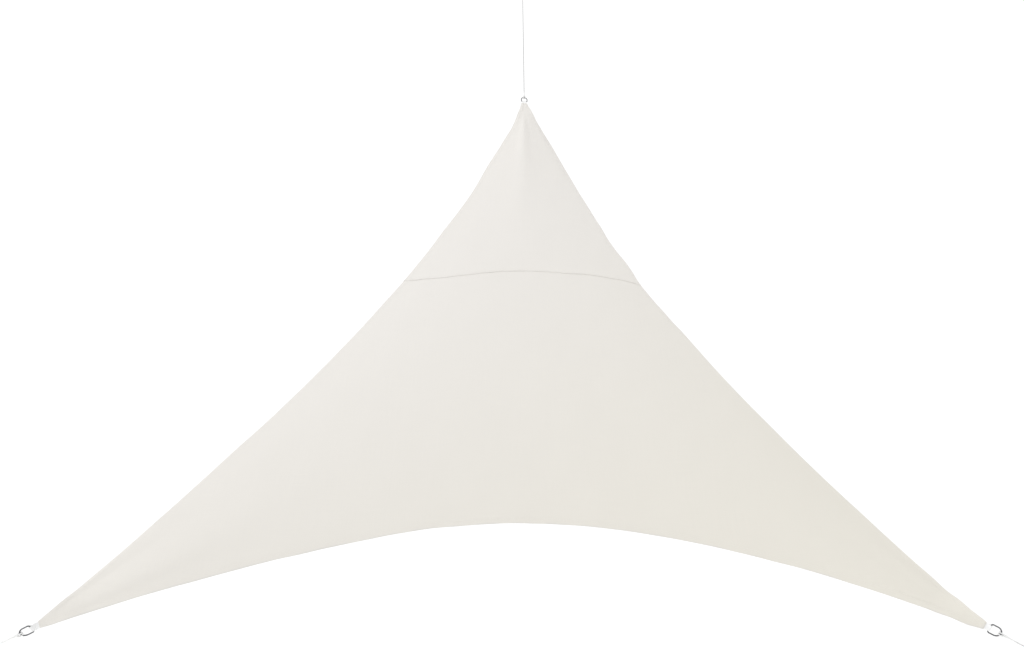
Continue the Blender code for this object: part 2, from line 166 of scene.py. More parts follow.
# Each rope's points: distance out of the splice, and how far it hangs below its straight line
TOP_ROUTE = (
    (0, 0), (0.02, 0.0002), (0.05, 0.0005), (0.1, 0.0009), (0.17, 0.0015), (0.25, 0.002),
    (0.34, 0.0025), (0.44, 0.0028), (0.54, 0.003), (0.64, 0.0029), (0.74, 0.0026), (0.83, 0.0021),
    (0.91, 0.0016), (0.99, 0.001), (1.05, 0.0005), (1.085, 0.0002), (1.105, 0),
)
LEFT_ROUTE = (
    (0, 0), (0.003, 0), (0.006, 0.0001), (0.009, 0.0001), (0.012, 0.0002), (0.015, 0.0002),
    (0.019, 0.0003), (0.023, 0.0003), (0.027, 0.0003), (0.031, 0.0002), (0.034, 0.0002),
    (0.037, 0.0001), (0.04, 0.0001), (0.043, 0), (0.046, 0),
)
RIGHT_ROUTE = (
    (0, 0), (0.004, 0.0001), (0.008, 0.0001), (0.012, 0.0002), (0.016, 0.0003), (0.02, 0.0003),
    (0.024, 0.0004), (0.028, 0.0004), (0.032, 0.0004), (0.037, 0.0003), (0.042, 0.0003),
    (0.046, 0.0002), (0.05, 0.0001), (0.055, 0.0001), (0.06, 0),
)


class Crease(NamedTuple):
    """A soft ridge from a corner towards the middle: its height, and how far in it peaks and ends."""

    height: float
    peak: float
    end: float


class Corner(NamedTuple):
    """A corner and what hangs on it.  Twists turn about the line of pull, and the rope's shade field is
    how much painted shade darkens its rope, away from the ring."""

    place: tuple
    strap: float
    tip: float
    tip_twist: float
    ring_twist: float
    rope_swing: float
    painted_rope_shade: float
    crease: Crease
    route: tuple


CORNERS = {
    "top": Corner(
        place=(TOP_SHIFT, RISE), strap=0.022, tip=0.017, tip_twist=math.radians(4),
        ring_twist=math.radians(8), rope_swing=math.radians(1.1), painted_rope_shade=1.0,
        crease=Crease(height=0.010, peak=0.35, end=1.30), route=TOP_ROUTE,
    ),
    "left": Corner(
        place=(-SIDE / 2, 0.0), strap=0.028, tip=0.0125, tip_twist=math.radians(-12),
        ring_twist=math.radians(-63), rope_swing=math.radians(-2.5), painted_rope_shade=0.0,
        crease=Crease(height=0.007, peak=0.40, end=1.20), route=LEFT_ROUTE,
    ),
    "right": Corner(
        place=(SIDE / 2, 0.0015), strap=0.0185, tip=0.014, tip_twist=math.radians(35),
        ring_twist=math.radians(45), rope_swing=math.radians(-1.1), painted_rope_shade=0.53,
        crease=Crease(height=0.007, peak=0.40, end=1.20), route=RIGHT_ROUTE,
    ),
}


# ---- Settings ----


class SailClothSettings(bpy.types.PropertyGroup):
    """Cloth and sewing."""

    colour: FloatVectorProperty(
        name="Cloth", description="Colour of the cloth", subtype="COLOR", size=3, min=0, max=1,
        default=(0.773, 0.748, 0.713),
    )
    thickness: FloatProperty(
        name="Cloth thickness", description="One layer of cloth", unit="LENGTH", default=0.0012
    )
    hem: FloatProperty(
        name="Hem thickness", description="The folded layers of the hem", unit="LENGTH", default=0.0024
    )
    hem_width: FloatProperty(
        name="Hem width", description="From the edge to the folded layer's end", unit="LENGTH",
        default=0.023,
    )
    yarn: FloatProperty(
        name="Yarn pitch", description="Distance between the yarns of the weave", unit="LENGTH",
        default=0.0016,
    )
    thread_colour: FloatVectorProperty(
        name="Thread", description="Colour of the sewing thread", subtype="COLOR", size=3, min=0,
        max=1, default=(0.86, 0.84, 0.80),
    )
    thread: FloatProperty(
        name="Thread thickness", description="Thickness of the sewing thread", unit="LENGTH",
        default=0.0006,
    )
    stitch: FloatProperty(
        name="Stitch length", description="Length of one stitch", unit="LENGTH", default=0.0042
    )


class SailRopeSettings(bpy.types.PropertyGroup):
    """Ropes and webbing."""

    rope_colour: FloatVectorProperty(
        name="Rope", description="Colour of the ropes", subtype="COLOR", size=3, min=0, max=1,
        default=(0.90, 0.90, 0.895),
    )
    braid: FloatProperty(
        name="Braid pitch", description="Length over which a strand goes once round", unit="LENGTH",
        default=0.030,
    )
    webbing_colour: FloatVectorProperty(
        name="Webbing", description="Colour of the webbing", subtype="COLOR", size=3, min=0, max=1,
        default=(0.93, 0.93, 0.93),
    )


class SailRingSettings(bpy.types.PropertyGroup):
    """Rings."""

    colour: FloatVectorProperty(
        name="Steel", description="Colour of the ring wire", subtype="COLOR", size=3, min=0, max=1,
        default=(0.17, 0.17, 0.18),
    )
    roughness: FloatProperty(
        name="Roughness", description="Roughness of the clean wire", subtype="FACTOR", min=0, max=1,
        default=0.32,
    )


class SailStudioSettings(bpy.types.PropertyGroup):
    """Camera, light and floor."""

    lens: FloatProperty(
        name="Lens", description="Focal length", subtype="DISTANCE_CAMERA", default=24.0
    )
    sky: FloatProperty(
        name="Surrounding light", description="Strength of the white surroundings", default=1.06
    )
    front: FloatProperty(
        name="Front", description="How much weaker the surroundings are in front of the sail",
        subtype="FACTOR", min=0, max=1, default=0.162,
    )
    key: FloatProperty(
        name="Key light", description="Strength of the soft light from the upper left", default=0.915
    )
    key_width: FloatProperty(
        name="Key width", description="Angle over which the key light spreads", subtype="ANGLE",
        default=math.radians(32),
    )
    floor_drop: FloatProperty(
        name="Floor drop", description="From the near rings' line down to the floor", unit="LENGTH",
        default=2.4,
    )


# ---- The sail's shape ----


def unit(vectors):
    """The vectors at length 1."""
    return vectors / np.linalg.norm(vectors, axis=-1, keepdims=True)


def smooth(low, high, x):
    """0 below low, 1 above high, with a smooth step between: t^2 (3 - 2 t)."""
    t = np.clip((x - low) / (high - low), 0.0, 1.0)
    return t * t * (3 - 2 * t)


def turn_left(vectors):
    """Flat vectors turned by a quarter turn to the left."""
    return np.stack([-vectors[..., 1], vectors[..., 0]], axis=-1)


def place_of(name):
    """The flat place of a corner's ring."""
    return np.array(CORNERS[name].place)


def pull_of(name):
    """The outward bisector of a corner, which its rope pulls along."""
    here = place_of(name)
    return -unit(sum(unit(place_of(other) - here) for other in CORNERS if other != name))


def tip_start(name):
    """How far in from the ring's middle the cloth's blunt tip lies."""
    return BAR + CORNERS[name].strap


def tip_ends(name):
    """The two ends of the cloth's blunt tip, the one on the left of the pull first."""
    pull = pull_of(name)
    middle = place_of(name) - pull * tip_start(name)
    half = turn_left(pull) * CORNERS[name].tip
    return middle + half, middle - half


def eased_between(pairs, x):
    """The values of pairs of (place, value) at x, with a smooth step from each pair to the next."""
    places, values = np.array(pairs).T
    pair = np.clip(np.searchsorted(places, x, side="right") - 1, 0, len(places) - 2)
    return values[pair] + (values[pair + 1] - values[pair]) * smooth(places[pair], places[pair + 1], x)


def edge_offset(edge, t):
    """How far an edge lies in from its straight line at t: its curve and its hem's uneven pulls."""
    t = np.clip(t, 0.0, 1.0)
    curve = edge.depth * np.sin(np.pi * t) ** edge.power * (1 + edge.skew * (2 * t - 1))
    return curve + eased_between(edge.pulls, t) / 1000


def edge_points(start, end, edge, t):
    """Points of an edge at t: on the straight line from start to end, moved in by its offset."""
    chord = end - start
    middle = (place_of("top") + place_of("left") + place_of("right")) / 3
    inward = turn_left(unit(chord))
    inward = inward * np.sign(np.dot(inward, middle - start))
    return start + t[..., None] * chord + edge_offset(edge, t)[..., None] * inward


def left_edge(v):
    """The left edge at v, whose share of the edge goes up to the seam's at 1 and on to 1 at 2."""
    t = np.interp(v, [0, 1, 2], [0, SEAM_ON_LEFT, 1])
    return edge_points(tip_ends("left")[1], tip_ends("top")[0], LEFT_EDGE, t)


def right_edge(v):
    """The right edge at v, in the same way."""
    t = np.interp(v, [0, 1, 2], [0, SEAM_ON_RIGHT, 1])
    return edge_points(tip_ends("right")[0], tip_ends("top")[1], RIGHT_EDGE, t)


def near_edge(a):
    """The near edge at a."""
    return edge_points(tip_ends("left")[0], tip_ends("right")[1], NEAR_EDGE, a)


def flat_places(v, a):
    """Flat sail coordinates (u, s) of places on the cloth.

    A row at v runs straight from the left edge to the right one and bows up by a mix of the near
    edge's curve (at v = 0), the seam's (at 1) and none (at 2).  Between v = 0 and v = -1 it goes in
    equal shares down to the near edge.
    """
    v, a = np.broadcast_arrays(np.asarray(v, float), np.asarray(a, float))
    w = np.clip(v, 0, 2)
    left, right = left_edge(w), right_edge(w)
    seam = SEAM_BOW * np.sin(np.pi * a) + eased_between(SEAM_PULLS, a) / 1000
    bow = np.clip(1 - w, 0, 1) * edge_offset(NEAR_EDGE, a) + (1 - np.abs(w - 1)) * seam
    row = left + a[..., None] * (right - left) + bow[..., None] * turn_left(unit(right - left))
    return row + np.clip(v, -1, 0)[..., None] * (row - near_edge(a))


def shares(flat):
    """How much each place belongs to the left, right and top corners; the three add up to 1."""
    left, right, top = place_of("left"), place_of("right"), place_of("top")
    basis = np.stack([left - top, right - top], axis=1)
    first_two = (flat - top) @ np.linalg.inv(basis).T
    return first_two[..., 0], first_two[..., 1], 1 - first_two.sum(axis=-1)


def from_ring(name, flat):
    """Distance of flat places from a ring's middle."""
    return np.linalg.norm(flat - place_of(name), axis=-1)


def corner_coordinates(flat, name):
    """Distance in from the ring along the pull, and distance across to the left of the pull."""
    offset = flat - place_of(name)
    return -offset @ pull_of(name), offset @ turn_left(pull_of(name))


def flat_in_corner(name, inward, across):
    """Flat sail coordinates of a corner's own distances in and across."""
    pull = pull_of(name)
    return place_of(name) - inward[..., None] * pull + across[..., None] * turn_left(pull)


def main_relief(flat):
    """Height of the cloth's middle off the rings' plane.

    A tent over the corners (the product of the shares over the sum of their pairs) less a general
    sag (that sum), faded out near the rings, plus a soft ridge from each corner.
    """
    left, right, top = shares(flat)
    pairs = left * right + right * top + top * left
    height = TENT_HEIGHT * 9 * left * right * top / pairs - SAG_DEPTH * 3 * pairs
    for name in CORNERS:
        height = height * smooth(FLAT_REACH, RELIEF_REACH, from_ring(name, flat))
    for name, corner in CORNERS.items():
        inward, across = corner_coordinates(flat, name)
        crease = corner.crease
        along = smooth(FLAT_REACH, crease.peak, inward) * (1 - smooth(crease.peak, crease.end, inward))
        half_width = CREASE_WIDTH + CREASE_SPREAD * np.abs(inward)
        height = height + crease.height * along * np.exp(-((across / half_width) ** 2))
    return height + LIFT


def fine_relief(flat):
    """Small forms on top of the main relief.

    A ridge runs from the top tip to below the seam: slope * width * exp(-across / width), with its
    crest rounded.  Folds fan out of each corner as waves in the angle about its ring, strongest a
    little way in.  Long uneven waves, sums of sines in turned directions, run over the middle.
    """
    inward, across = corner_coordinates(flat, "top")
    along = smooth(FLAT_REACH, 2 * RELIEF_REACH, inward) * (1 - smooth(0.6 * RIDGE_END, RIDGE_END, inward))
    height = along * RIDGE_SLOPE * RIDGE_WIDTH * np.exp(-np.hypot(across, RIDGE_ROUND) / RIDGE_WIDTH)
    calm = np.ones(flat.shape[:-1])
    for number, name in enumerate(CORNERS):
        inward, across = corner_coordinates(flat, name)
        angle = np.arctan2(across, np.maximum(inward, 0.02))
        distance = np.hypot(inward, across)
        strength = smooth(FLAT_REACH, FOLD_PEAK, distance) * (1 - smooth(FOLD_PEAK, FOLD_END, distance))
        wave = np.cos(FOLD_SPREAD * 2 * angle + number) + 0.5 * np.cos(FOLD_SPREAD * 3.3 * angle - number)
        height = height + FOLD_HEIGHT * strength * wave
        calm = calm * smooth(RELIEF_REACH, 3 * RELIEF_REACH, from_ring(name, flat))
    u, s = flat[..., 0], flat[..., 1]
    for turn, per_metre, shift in DRIFTS:
        phase = 2 * np.pi * per_metre * (u * math.cos(turn) + s * math.sin(turn)) + shift
        bend = 1.3 * np.sin(1.7 * u - 2.1 * s + shift)
        height = height + DRIFT_HEIGHT / per_metre * calm * np.sin(phase + bend)
    return height


def twist_at(name, inward):
    """The turn about the pull line: the ring's at its bar, the tip's at the tip, then fading out."""
    corner, tip = CORNERS[name], tip_start(name)
    turn = corner.ring_twist + (corner.tip_twist - corner.ring_twist) * smooth(BAR, tip, inward)
    return turn * (1 - smooth(tip, TWIST_END, inward))


def in_corner(name, inward, across, height):
    """Sail coordinates of a corner's own (inward, across, height), turned by the corner's twist."""
    turn = twist_at(name, inward)
    side = across * np.cos(turn) - height * np.sin(turn)
    rise = across * np.sin(turn) + height * np.cos(turn)
    return np.concatenate([flat_in_corner(name, inward, side), rise[..., None]], axis=-1)


def from_base(places):
    """World directions of sail coordinates: s and n turned up by the slope."""
    across, up, out = np.moveaxis(np.asarray(places, float), -1, 0)
    level = up * math.cos(SLOPE) - out * math.sin(SLOPE)
    rise = up * math.sin(SLOPE) + out * math.cos(SLOPE)
    return np.stack([across, level, rise], axis=-1)


def ring_axes(name):
    """Sail coordinates of a ring's centre, and its axes along the pull, across and out."""
    turn = CORNERS[name].ring_twist
    side = turn_left(pull_of(name))
    across = np.append(side * math.cos(turn), math.sin(turn))
    out = np.append(-side * math.sin(turn), math.cos(turn))
    return np.append(place_of(name), 0.0), np.append(pull_of(name), 0.0), across, out


def rope_axes(name):
    """Sail coordinates of the centre of a ring's bow, and axes along its rope, across and out."""
    centre, pull, across, out = ring_axes(name)
    swing = CORNERS[name].rope_swing
    along = pull * math.cos(swing) + across * math.sin(swing)
    sideways = across * math.cos(swing) - pull * math.sin(swing)
    return centre + pull * (RING_LENGTH - RING_WIDTH) / 2, along, sideways, out


def eye_start(name):
    """How far from the bow's centre the rope ends and its eye's splice begins."""
    return ROPE_START + CORNERS[name].route[-1][0] + GAP


def top_eye_bearing():
    """Sail coordinates of the point inside the top eye that takes the pull: the world's origin."""
    middle, along, _, _ = rope_axes("top")
    return middle + along * (eye_start("top") + SPLICE_LENGTH + EYE_LENGTH - ROPE)


ORIGIN = from_base(top_eye_bearing())


def to_world(places):
    """World places of sail coordinates."""
    return from_base(places) - ORIGIN


def in_world(axes):
    """World place and axes of a frame given in sail coordinates."""
    centre, *directions = axes
    return to_world(centre), *(from_base(direction) for direction in directions)


def cloth_world(flat, height):
    """World places at a height off the rings' plane over flat places, with the corners' twists."""
    placed = np.concatenate([flat, height[..., None]], axis=-1)
    for name in CORNERS:
        inward, across = corner_coordinates(flat, name)
        near = from_ring(name, flat) < TWIST_END
        placed[near] = in_corner(name, inward[near], across[near], height[near])
    return to_world(placed)


# ---- Paths and meshes ----


def lengths_along(path):
    """The distance along a path to each of its points."""
    return np.concatenate([[0], np.cumsum(np.linalg.norm(np.diff(path, axis=0), axis=1))])


def read_off(at, along, values):
    """Rows of values, given at distances along a path, read off at other distances."""
    return np.stack([np.interp(at, along, column) for column in values.T], axis=1)


def spaced(points, step):
    """A path's points again, an equal distance of about step apart."""
    along = lengths_along(points)
    return read_off(np.linspace(0, along[-1], max(2, round(along[-1] / step) + 1)), along, points)


def eased(points, turns):
    """A path with its corners rounded: each inner point moves to the mean of itself and its
    neighbours, a number of times."""
    points = points.copy()
    for _ in range(turns):
        points[1:-1] = (points[:-2] + 2 * points[1:-1] + points[2:]) / 4
    return points


def round_angles(sides):
    """Even angles once round, from 0."""
    return np.linspace(0, 2 * np.pi, sides, endpoint=False)


def arc(centre, radius, first, last, steps):
    """Flat points on an arc, from the first to the last angle in degrees."""
    angles = np.radians(np.linspace(first, last, steps + 1))
    return np.stack([centre[0] + radius * np.cos(angles), centre[1] + radius * np.sin(angles)], axis=1)


def cubic(t, start, end, start_slope, end_slope):
    """The cubic from start to end, with those slopes there, as t goes from 0 to 1."""
    return (
        (2 * t**3 - 3 * t**2 + 1) * start
        + (t**3 - 2 * t**2 + t) * start_slope
        + (3 * t**2 - 2 * t**3) * end
        + (t**3 - t**2) * end_slope
    )


def curve_through(points, steps=12):
    """A smooth curve through points: cubics that pass each one along the line between its
    neighbours."""
    slopes = np.gradient(points, axis=0)
    t = np.linspace(0, 1, steps, endpoint=False)[None, :, None]
    curve = cubic(t, points[:-1, None], points[1:, None], slopes[:-1, None], slopes[1:, None])
    return np.concatenate([curve.reshape(-1, points.shape[1]), points[-1:]])


def grid_faces(rows, columns, ring=False):
    """Quads over a grid of rows * columns points, and the (row, column) of each quad's corners.

    With ring, the last column joins the first, whose corners then count as one column more.
    """
    i, j = np.meshgrid(np.arange(rows - 1), np.arange(columns - (not ring)), indexing="ij")
    corner_rows = np.stack([i, i, i + 1, i + 1], axis=-1).reshape(-1, 4)
    corner_columns = np.stack([j, j + 1, j + 1, j], axis=-1).reshape(-1, 4)
    return corner_rows * columns + corner_columns % columns, corner_rows, corner_columns


def add_object(name, data):
    """An object of its data, in the scene."""
    made = bpy.data.objects.new(name, data)
    bpy.context.scene.collection.objects.link(made)
    return made


def add_piece(name, shape, finish, node=None, marks=None):
    """A smooth mesh of a shape (points, faces, UVs), with its per-point marks.  It rides the root
    and replaces its CAD node, if it has one."""
    points, faces, uv = shape
    mesh = bpy.data.meshes.new(name)
    mesh.from_pydata(points.reshape(-1, 3).tolist(), [], [list(face) for face in faces])
    layer = mesh.uv_layers.new(name="surface")
    layer.data.foreach_set("uv", np.asarray(uv, np.float32).ravel())
    for mark, values in (marks or {}).items():
        attribute = mesh.attributes.new(mark, "FLOAT", "POINT")
        attribute.data.foreach_set("value", np.asarray(values, np.float32).ravel())
    mesh.shade_smooth()
    mesh.materials.append(finish)
    piece = add_object(name, mesh)
    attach(piece, "root")
    if node:
        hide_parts(node)
    return piece


def tube(points, normal, radius):
    """A tube along a path: rings of points round it, its faces and their UVs in metres.

    A ring's point at an angle is the path's point plus radius * (cos angle * side + sin angle *
    up), where side stands square to the path and to the fixed normal, and up to the path and to
    side.  radius is an array with a row for each path point and a column for each angle.
    """
    stations, sides = radius.shape
    angles = round_angles(sides)
    tangent = unit(np.gradient(points, axis=0))
    side = unit(np.cross(normal, tangent))
    up = np.cross(tangent, side)
    spokes = np.cos(angles)[None, :, None] * side[:, None] + np.sin(angles)[None, :, None] * up[:, None]
    rings = points[:, None] + radius[..., None] * spokes
    faces, rows, columns = grid_faces(stations, sides, ring=True)
    uv = np.stack([columns * 2 * np.pi * radius.mean() / sides, lengths_along(points)[rows]], axis=-1)
    return rings, faces, uv


def with_caps(points, faces, uv):
    """A tube's shape with one cap at each end."""
    stations, sides = points.shape[:2]
    first = np.arange(sides)[::-1]
    last = np.arange(sides) + (stations - 1) * sides
    uv = np.concatenate([uv.reshape(-1, 2), np.zeros((2 * sides, 2))])
    return points, [*faces.tolist(), first.tolist(), last.tolist()], uv


def joined(shapes):
    """Several shapes (points, faces, UVs) joined into one."""
    points, faces, uvs, count = [], [], [], 0
    for shape_points, shape_faces, uv in shapes:
        points.append(np.asarray(shape_points).reshape(-1, 3))
        faces += [[corner + count for corner in face] for face in shape_faces]
        uvs.append(np.asarray(uv).reshape(-1, 2))
        count += len(points[-1])
    return np.concatenate(points), faces, np.concatenate(uvs)


# ---- Finishes ----


class Value:
    """A shader socket in Python expressions: each operation on it adds its Math node."""

    def __init__(self, shading, socket):
        self.shading = shading
        self.socket = socket

    def maths(self, operation, *terms):
        return self.shading.node("ShaderNodeMath", {"operation": operation}, dict(enumerate(terms)))

    def __add__(self, other):
        return self.maths("ADD", self, other)

    def __mul__(self, other):
        return self.maths("MULTIPLY", self, other)

    def __sub__(self, other):
        return self.maths("SUBTRACT", self, other)

    def __rsub__(self, other):
        return self.maths("SUBTRACT", other, self)

    __radd__ = __add__
    __rmul__ = __mul__

    def sine(self):
        return self.maths("SINE", self)

    def sawtooth(self, reach):
        """Goes up and down between 0 and reach."""
        return self.maths("PINGPONG", self, reach)

    def step(self, low, high):
        """0 below low and 1 above high, with a smooth step between."""
        settings = {"interpolation_type": "SMOOTHSTEP"}
        return self.shading.node("ShaderNodeMapRange", settings, {0: self, 1: low, 2: high})


class Shading:
    """A material's or world's nodes, which are added by expressions."""

    def __init__(self, owner, shader):
        owner.use_nodes = True
        self.owner = owner
        self.tree = owner.node_tree
        self.shader = self.tree.nodes[shader]

    def node(self, kind, settings, sockets, output=0):
        """A node of a kind, with its settings and then its sockets' values or links."""
        made = self.tree.nodes.new(kind)
        for setting, value in settings.items():
            setattr(made, setting, value)
        for socket, value in sockets.items():
            self.join(made.inputs[socket], value)
        return Value(self, made.outputs[output])

    def join(self, socket, value):
        """Links a value to a socket, or sets the socket to a number, colour or vector."""
        if isinstance(value, Value):
            self.tree.links.new(value.socket, socket)
        else:
            socket.default_value = value

    def split(self, vector):
        """The three numbers of a vector."""
        made = self.node("ShaderNodeSeparateXYZ", {}, {0: vector})
        return [Value(self, output) for output in made.socket.node.outputs]

    def coordinates(self, kind):
        return self.node("ShaderNodeTexCoord", {}, {}, output=kind)

    def build(self, **sockets):
        """Feeds the shader's sockets and gives the material.  Underscores stand for spaces."""
        for socket, value in sockets.items():
            self.join(self.shader.inputs[socket.replace("_", " ")], value)
        return self.owner


class Finish(Shading):
    """A material, with the patterns that it can lay over its piece."""

    def __init__(self, name):
        super().__init__(bpy.data.materials.new(name), "Principled BSDF")

    def surface_coordinates(self):
        """The piece's own UVs in metres: across and along."""
        across, along, _ = self.split(self.node("ShaderNodeUVMap", {"uv_map": "surface"}, {}))
        return across, along

    def mark(self, name):
        """A per-point mark of the mesh."""
        return self.node("ShaderNodeAttribute", {"attribute_name": name}, {}, output="Fac")

    def noise(self, scale, detail, place=None):
        """Noise over the piece, or over another place."""
        place = place or self.coordinates("Object")
        sockets = {"Vector": place, "Scale": scale, "Detail": detail}
        return self.node("ShaderNodeTexNoise", {}, sockets)

    def streaks(self, x, y, detail=2.0):
        """Noise over two stretched coordinates: long where a coordinate is scaled little."""
        return self.noise(1.0, detail, self.node("ShaderNodeCombineXYZ", {}, {0: x, 1: y}))

    def mix(self, share, first, second, blend="MIX"):
        """Two colours mixed, the second by the share."""
        settings = {"data_type": "RGBA", "blend_type": blend}
        return self.node("ShaderNodeMix", settings, {0: share, 6: first, 7: second}, output=2)

    def tint(self, first, second):
        """Two colours multiplied."""
        return self.mix(1.0, first, second, "MULTIPLY")

    def bump(self, height, distance):
        return self.node("ShaderNodeBump", {}, {"Strength": 1.0, "Distance": distance, "Height": height})


def colour(rgb, level=1.0):
    """A colour, lighter or darker by a level."""
    return (rgb[0] * level, rgb[1] * level, rgb[2] * level, 1.0)


LOWER_RIGHT_SHADE_TINT = (0.960, 0.954, 0.905)  # painted shade: what is left of the cloth's colour at the lower right, where the light falls off
EDGE_SHADE_REACH = 0.007  # how far the painted shade of the hem, mixed with patchy soil, reaches from a free edge


def cloth_finish(settings):
    """Plain-woven outdoor cloth: a weave of two crossed sines with painted shade between the yarns, streaks
    of uneven yarns both ways, broad mottling, painted shade towards the lower right, and along the free
    edges painted shade of the hem mixed with patchy soil."""
    finish = Finish("woven cloth")
    across, along = finish.surface_coordinates()
    per_metre = 2 * math.pi / settings.yarn
    weave = (across * per_metre).sine() * (along * per_metre).sine()
    lengthwise, crosswise = 6.0, 420.0  # slubs in a metre
    slub_across = finish.streaks(across * lengthwise, along * crosswise, 1.0)
    slub_along = finish.streaks(across * crosswise, along * lengthwise, 1.0)
    mottle, specks, patches = finish.noise(1.6, 3.0), finish.noise(90.0, 2.0), finish.noise(9.0, 2.0)
    # the slubs are uneven yarns; the weave's share paints the hollows between yarns darker, as painted shade
    uneven_yarns_and_weave_shade = slub_across * 0.45 + slub_along * 0.45 + weave * 0.18
    yarns = finish.mix(uneven_yarns_and_weave_shade, colour(settings.colour, 0.965), colour(settings.colour, 1.03))
    toned = finish.mix(mottle.step(0.35, 0.70) * 0.30, yarns, colour(settings.colour, 0.985))
    # painted shade: the cloth is made darker and warmer towards the lower right, where the light falls off
    lower_right_shade = (0.42 * across - 0.70 * along + 1.0).step(-0.6, 1.6)
    shade_painted = finish.mix(lower_right_shade, toned, finish.tint(toned, colour(LOWER_RIGHT_SHADE_TINT)))
    # a darker band along the free edges: partly painted shade of the hem, partly patchy soil
    rubbed = (1 - finish.mark("from_edge").step(0.0, EDGE_SHADE_REACH)) * (0.10 + 0.50 * patches.step(0.40, 0.60))
    edge_shade_and_soil = finish.mix(rubbed, shade_painted, colour(settings.colour, 0.86))
    height = weave * 0.8 + slub_across * 0.8 + slub_along * 0.8 + specks * 0.5
    return finish.build(
        Base_Color=edge_shade_and_soil, Roughness=0.80 - 0.10 * mottle + 0.06 * specks,
        Normal=finish.bump(height, 0.00012), Specular_IOR_Level=0.25,
    )


def thread_finish(settings):
    """Sewing thread: two plies that wind round it, with painted shade between them."""
    finish = Finish("sewing thread")
    across, along = finish.surface_coordinates()
    ply_length, ply_width = 0.0011, 0.0009
    ply = (along * (2 * math.pi / ply_length) + across * (2 * math.pi / ply_width)).sine()
    # painted shade: the thread is darker in the grooves between its plies
    tone = finish.mix(0.5 + 0.5 * ply, colour(settings.thread_colour, 0.90), colour(settings.thread_colour))
    return finish.build(
        Base_Color=tone, Roughness=0.62, Normal=finish.bump(ply, 0.00004), Specular_IOR_Level=0.3
    )


def webbing_finish(settings):
    """Flat webbing: picks that slant one way and then the other between its ribs."""
    finish = Finish("flat webbing")
    across, along = finish.surface_coordinates()
    pair_width, slope, pick_length = 0.0042, 1.4, 0.0017
    pick = ((along + across.sawtooth(pair_width) * slope) * (2 * math.pi / pick_length)).sine()
    fibre = finish.streaks(across * 900.0, along * 120.0)
    wear = finish.noise(160.0, 3.0)
    white = settings.webbing_colour
    # painted shade: the picks are lighter on their crests and darker in their hollows
    tone = finish.mix(0.5 + 0.5 * pick, colour(white, 0.93), colour(white, 1.02))
    worn = finish.mix(wear.step(0.52, 0.75) * 0.35, tone, colour((0.74, 0.735, 0.70)))
    return finish.build(
        Base_Color=worn, Roughness=0.70 + 0.12 * fibre,
        Normal=finish.bump(pick * 0.7 + fibre * 0.6, 0.00015), Specular_IOR_Level=0.35,
    )


def steel_finish(settings):
    """Drawn wire: fine lines along it, dull patches, and brighter metal where straps and rope rub."""
    finish = Finish("drawn steel wire")
    across, along = finish.surface_coordinates()
    lines = finish.streaks(across * 2600.0, along * 60.0)
    patches, pits = finish.noise(140.0, 3.0), finish.noise(900.0, 2.0)
    rubbed = finish.mark("rubbed") * (0.5 + 0.5 * lines)
    dull = finish.mix(patches.step(0.35, 0.75), colour(settings.colour), colour((0.115, 0.115, 0.12)))
    tone = finish.mix(rubbed, dull, colour((0.36, 0.36, 0.37)))
    roughness = settings.roughness + 0.25 * patches.step(0.40, 0.80) + 0.10 * lines - 0.12 * rubbed
    return finish.build(
        Base_Color=tone, Metallic=1.0, Roughness=roughness,
        Normal=finish.bump(lines * 0.4 + pits * 0.6, 0.00004),
    )


def rope_finish(settings):
    """Braided rope: fibres slant along the strands, painted shade darkens the hollows between strands, a few
    dirty patches follow its length, and each rope carries its own share of painted shade, least on the ring."""
    finish = Finish("braided rope")
    across, along = finish.surface_coordinates()
    fibres = finish.streaks(across * 2400.0, along * 400.0)
    grime = finish.streaks(across * 60.0, along * 9.0, 3.0)
    proud = finish.mark("proud")
    white = settings.rope_colour
    # painted shade: the hollows between the strands are darker
    strand = finish.mix(proud.step(0.0, 0.75), colour(white, 0.62), colour(white))
    dirty = finish.mix(grime.step(0.50, 0.75) * 0.30, strand, colour((0.68, 0.67, 0.64)))
    # painted shade: each rope is darkened by its own share, less on the ring
    shade_painted = finish.mix(finish.mark("rope_shade"), dirty, finish.tint(dirty, colour((0.56, 0.56, 0.565))))
    return finish.build(
        Base_Color=shade_painted, Roughness=0.66 + 0.14 * fibres,
        Normal=finish.bump(fibres + proud * 0.5, 0.00010), Specular_IOR_Level=0.35,
    )


def floor_finish():
    """Seamless pale paper, very slightly uneven."""
    finish = Finish("pale studio floor")
    tone = finish.mix(finish.noise(0.35, 2.0), colour((0.93, 0.93, 0.925)), colour((0.96, 0.96, 0.955)))
    return finish.build(Base_Color=tone, Roughness=0.85, Specular_IOR_Level=0.1)


# ---- Camera and studio ----

KEY_FROM = (-0.73, -0.34, 0.59)
KEY_COLOUR = (0.97, 0.985, 1.0)
FRONT_FADE = (-0.15, 0.30)  # from the full weakening in front of the sail to none
FLOOR_SIDES = 64
FLOOR_RINGS = (2.0, 240.0, 12)  # the first one's radius, the last one's, and their number


def add_camera(settings):
    """A level camera in front of the near edge."""
    data = bpy.data.cameras.new("sail camera")
    data.sensor_fit = "HORIZONTAL"
    data.sensor_width = 36.0
    data.lens = settings.lens
    data.clip_start = 0.05
    data.clip_end = 500.0
    camera = add_object("sail camera", data)
    camera.location = to_world(np.zeros(3)) + np.array([CAMERA_ASIDE, -CAMERA_BACK, CAMERA_ABOVE])
    camera.rotation_euler = (math.pi / 2, 0.0, 0.0)
    bpy.context.scene.camera = camera


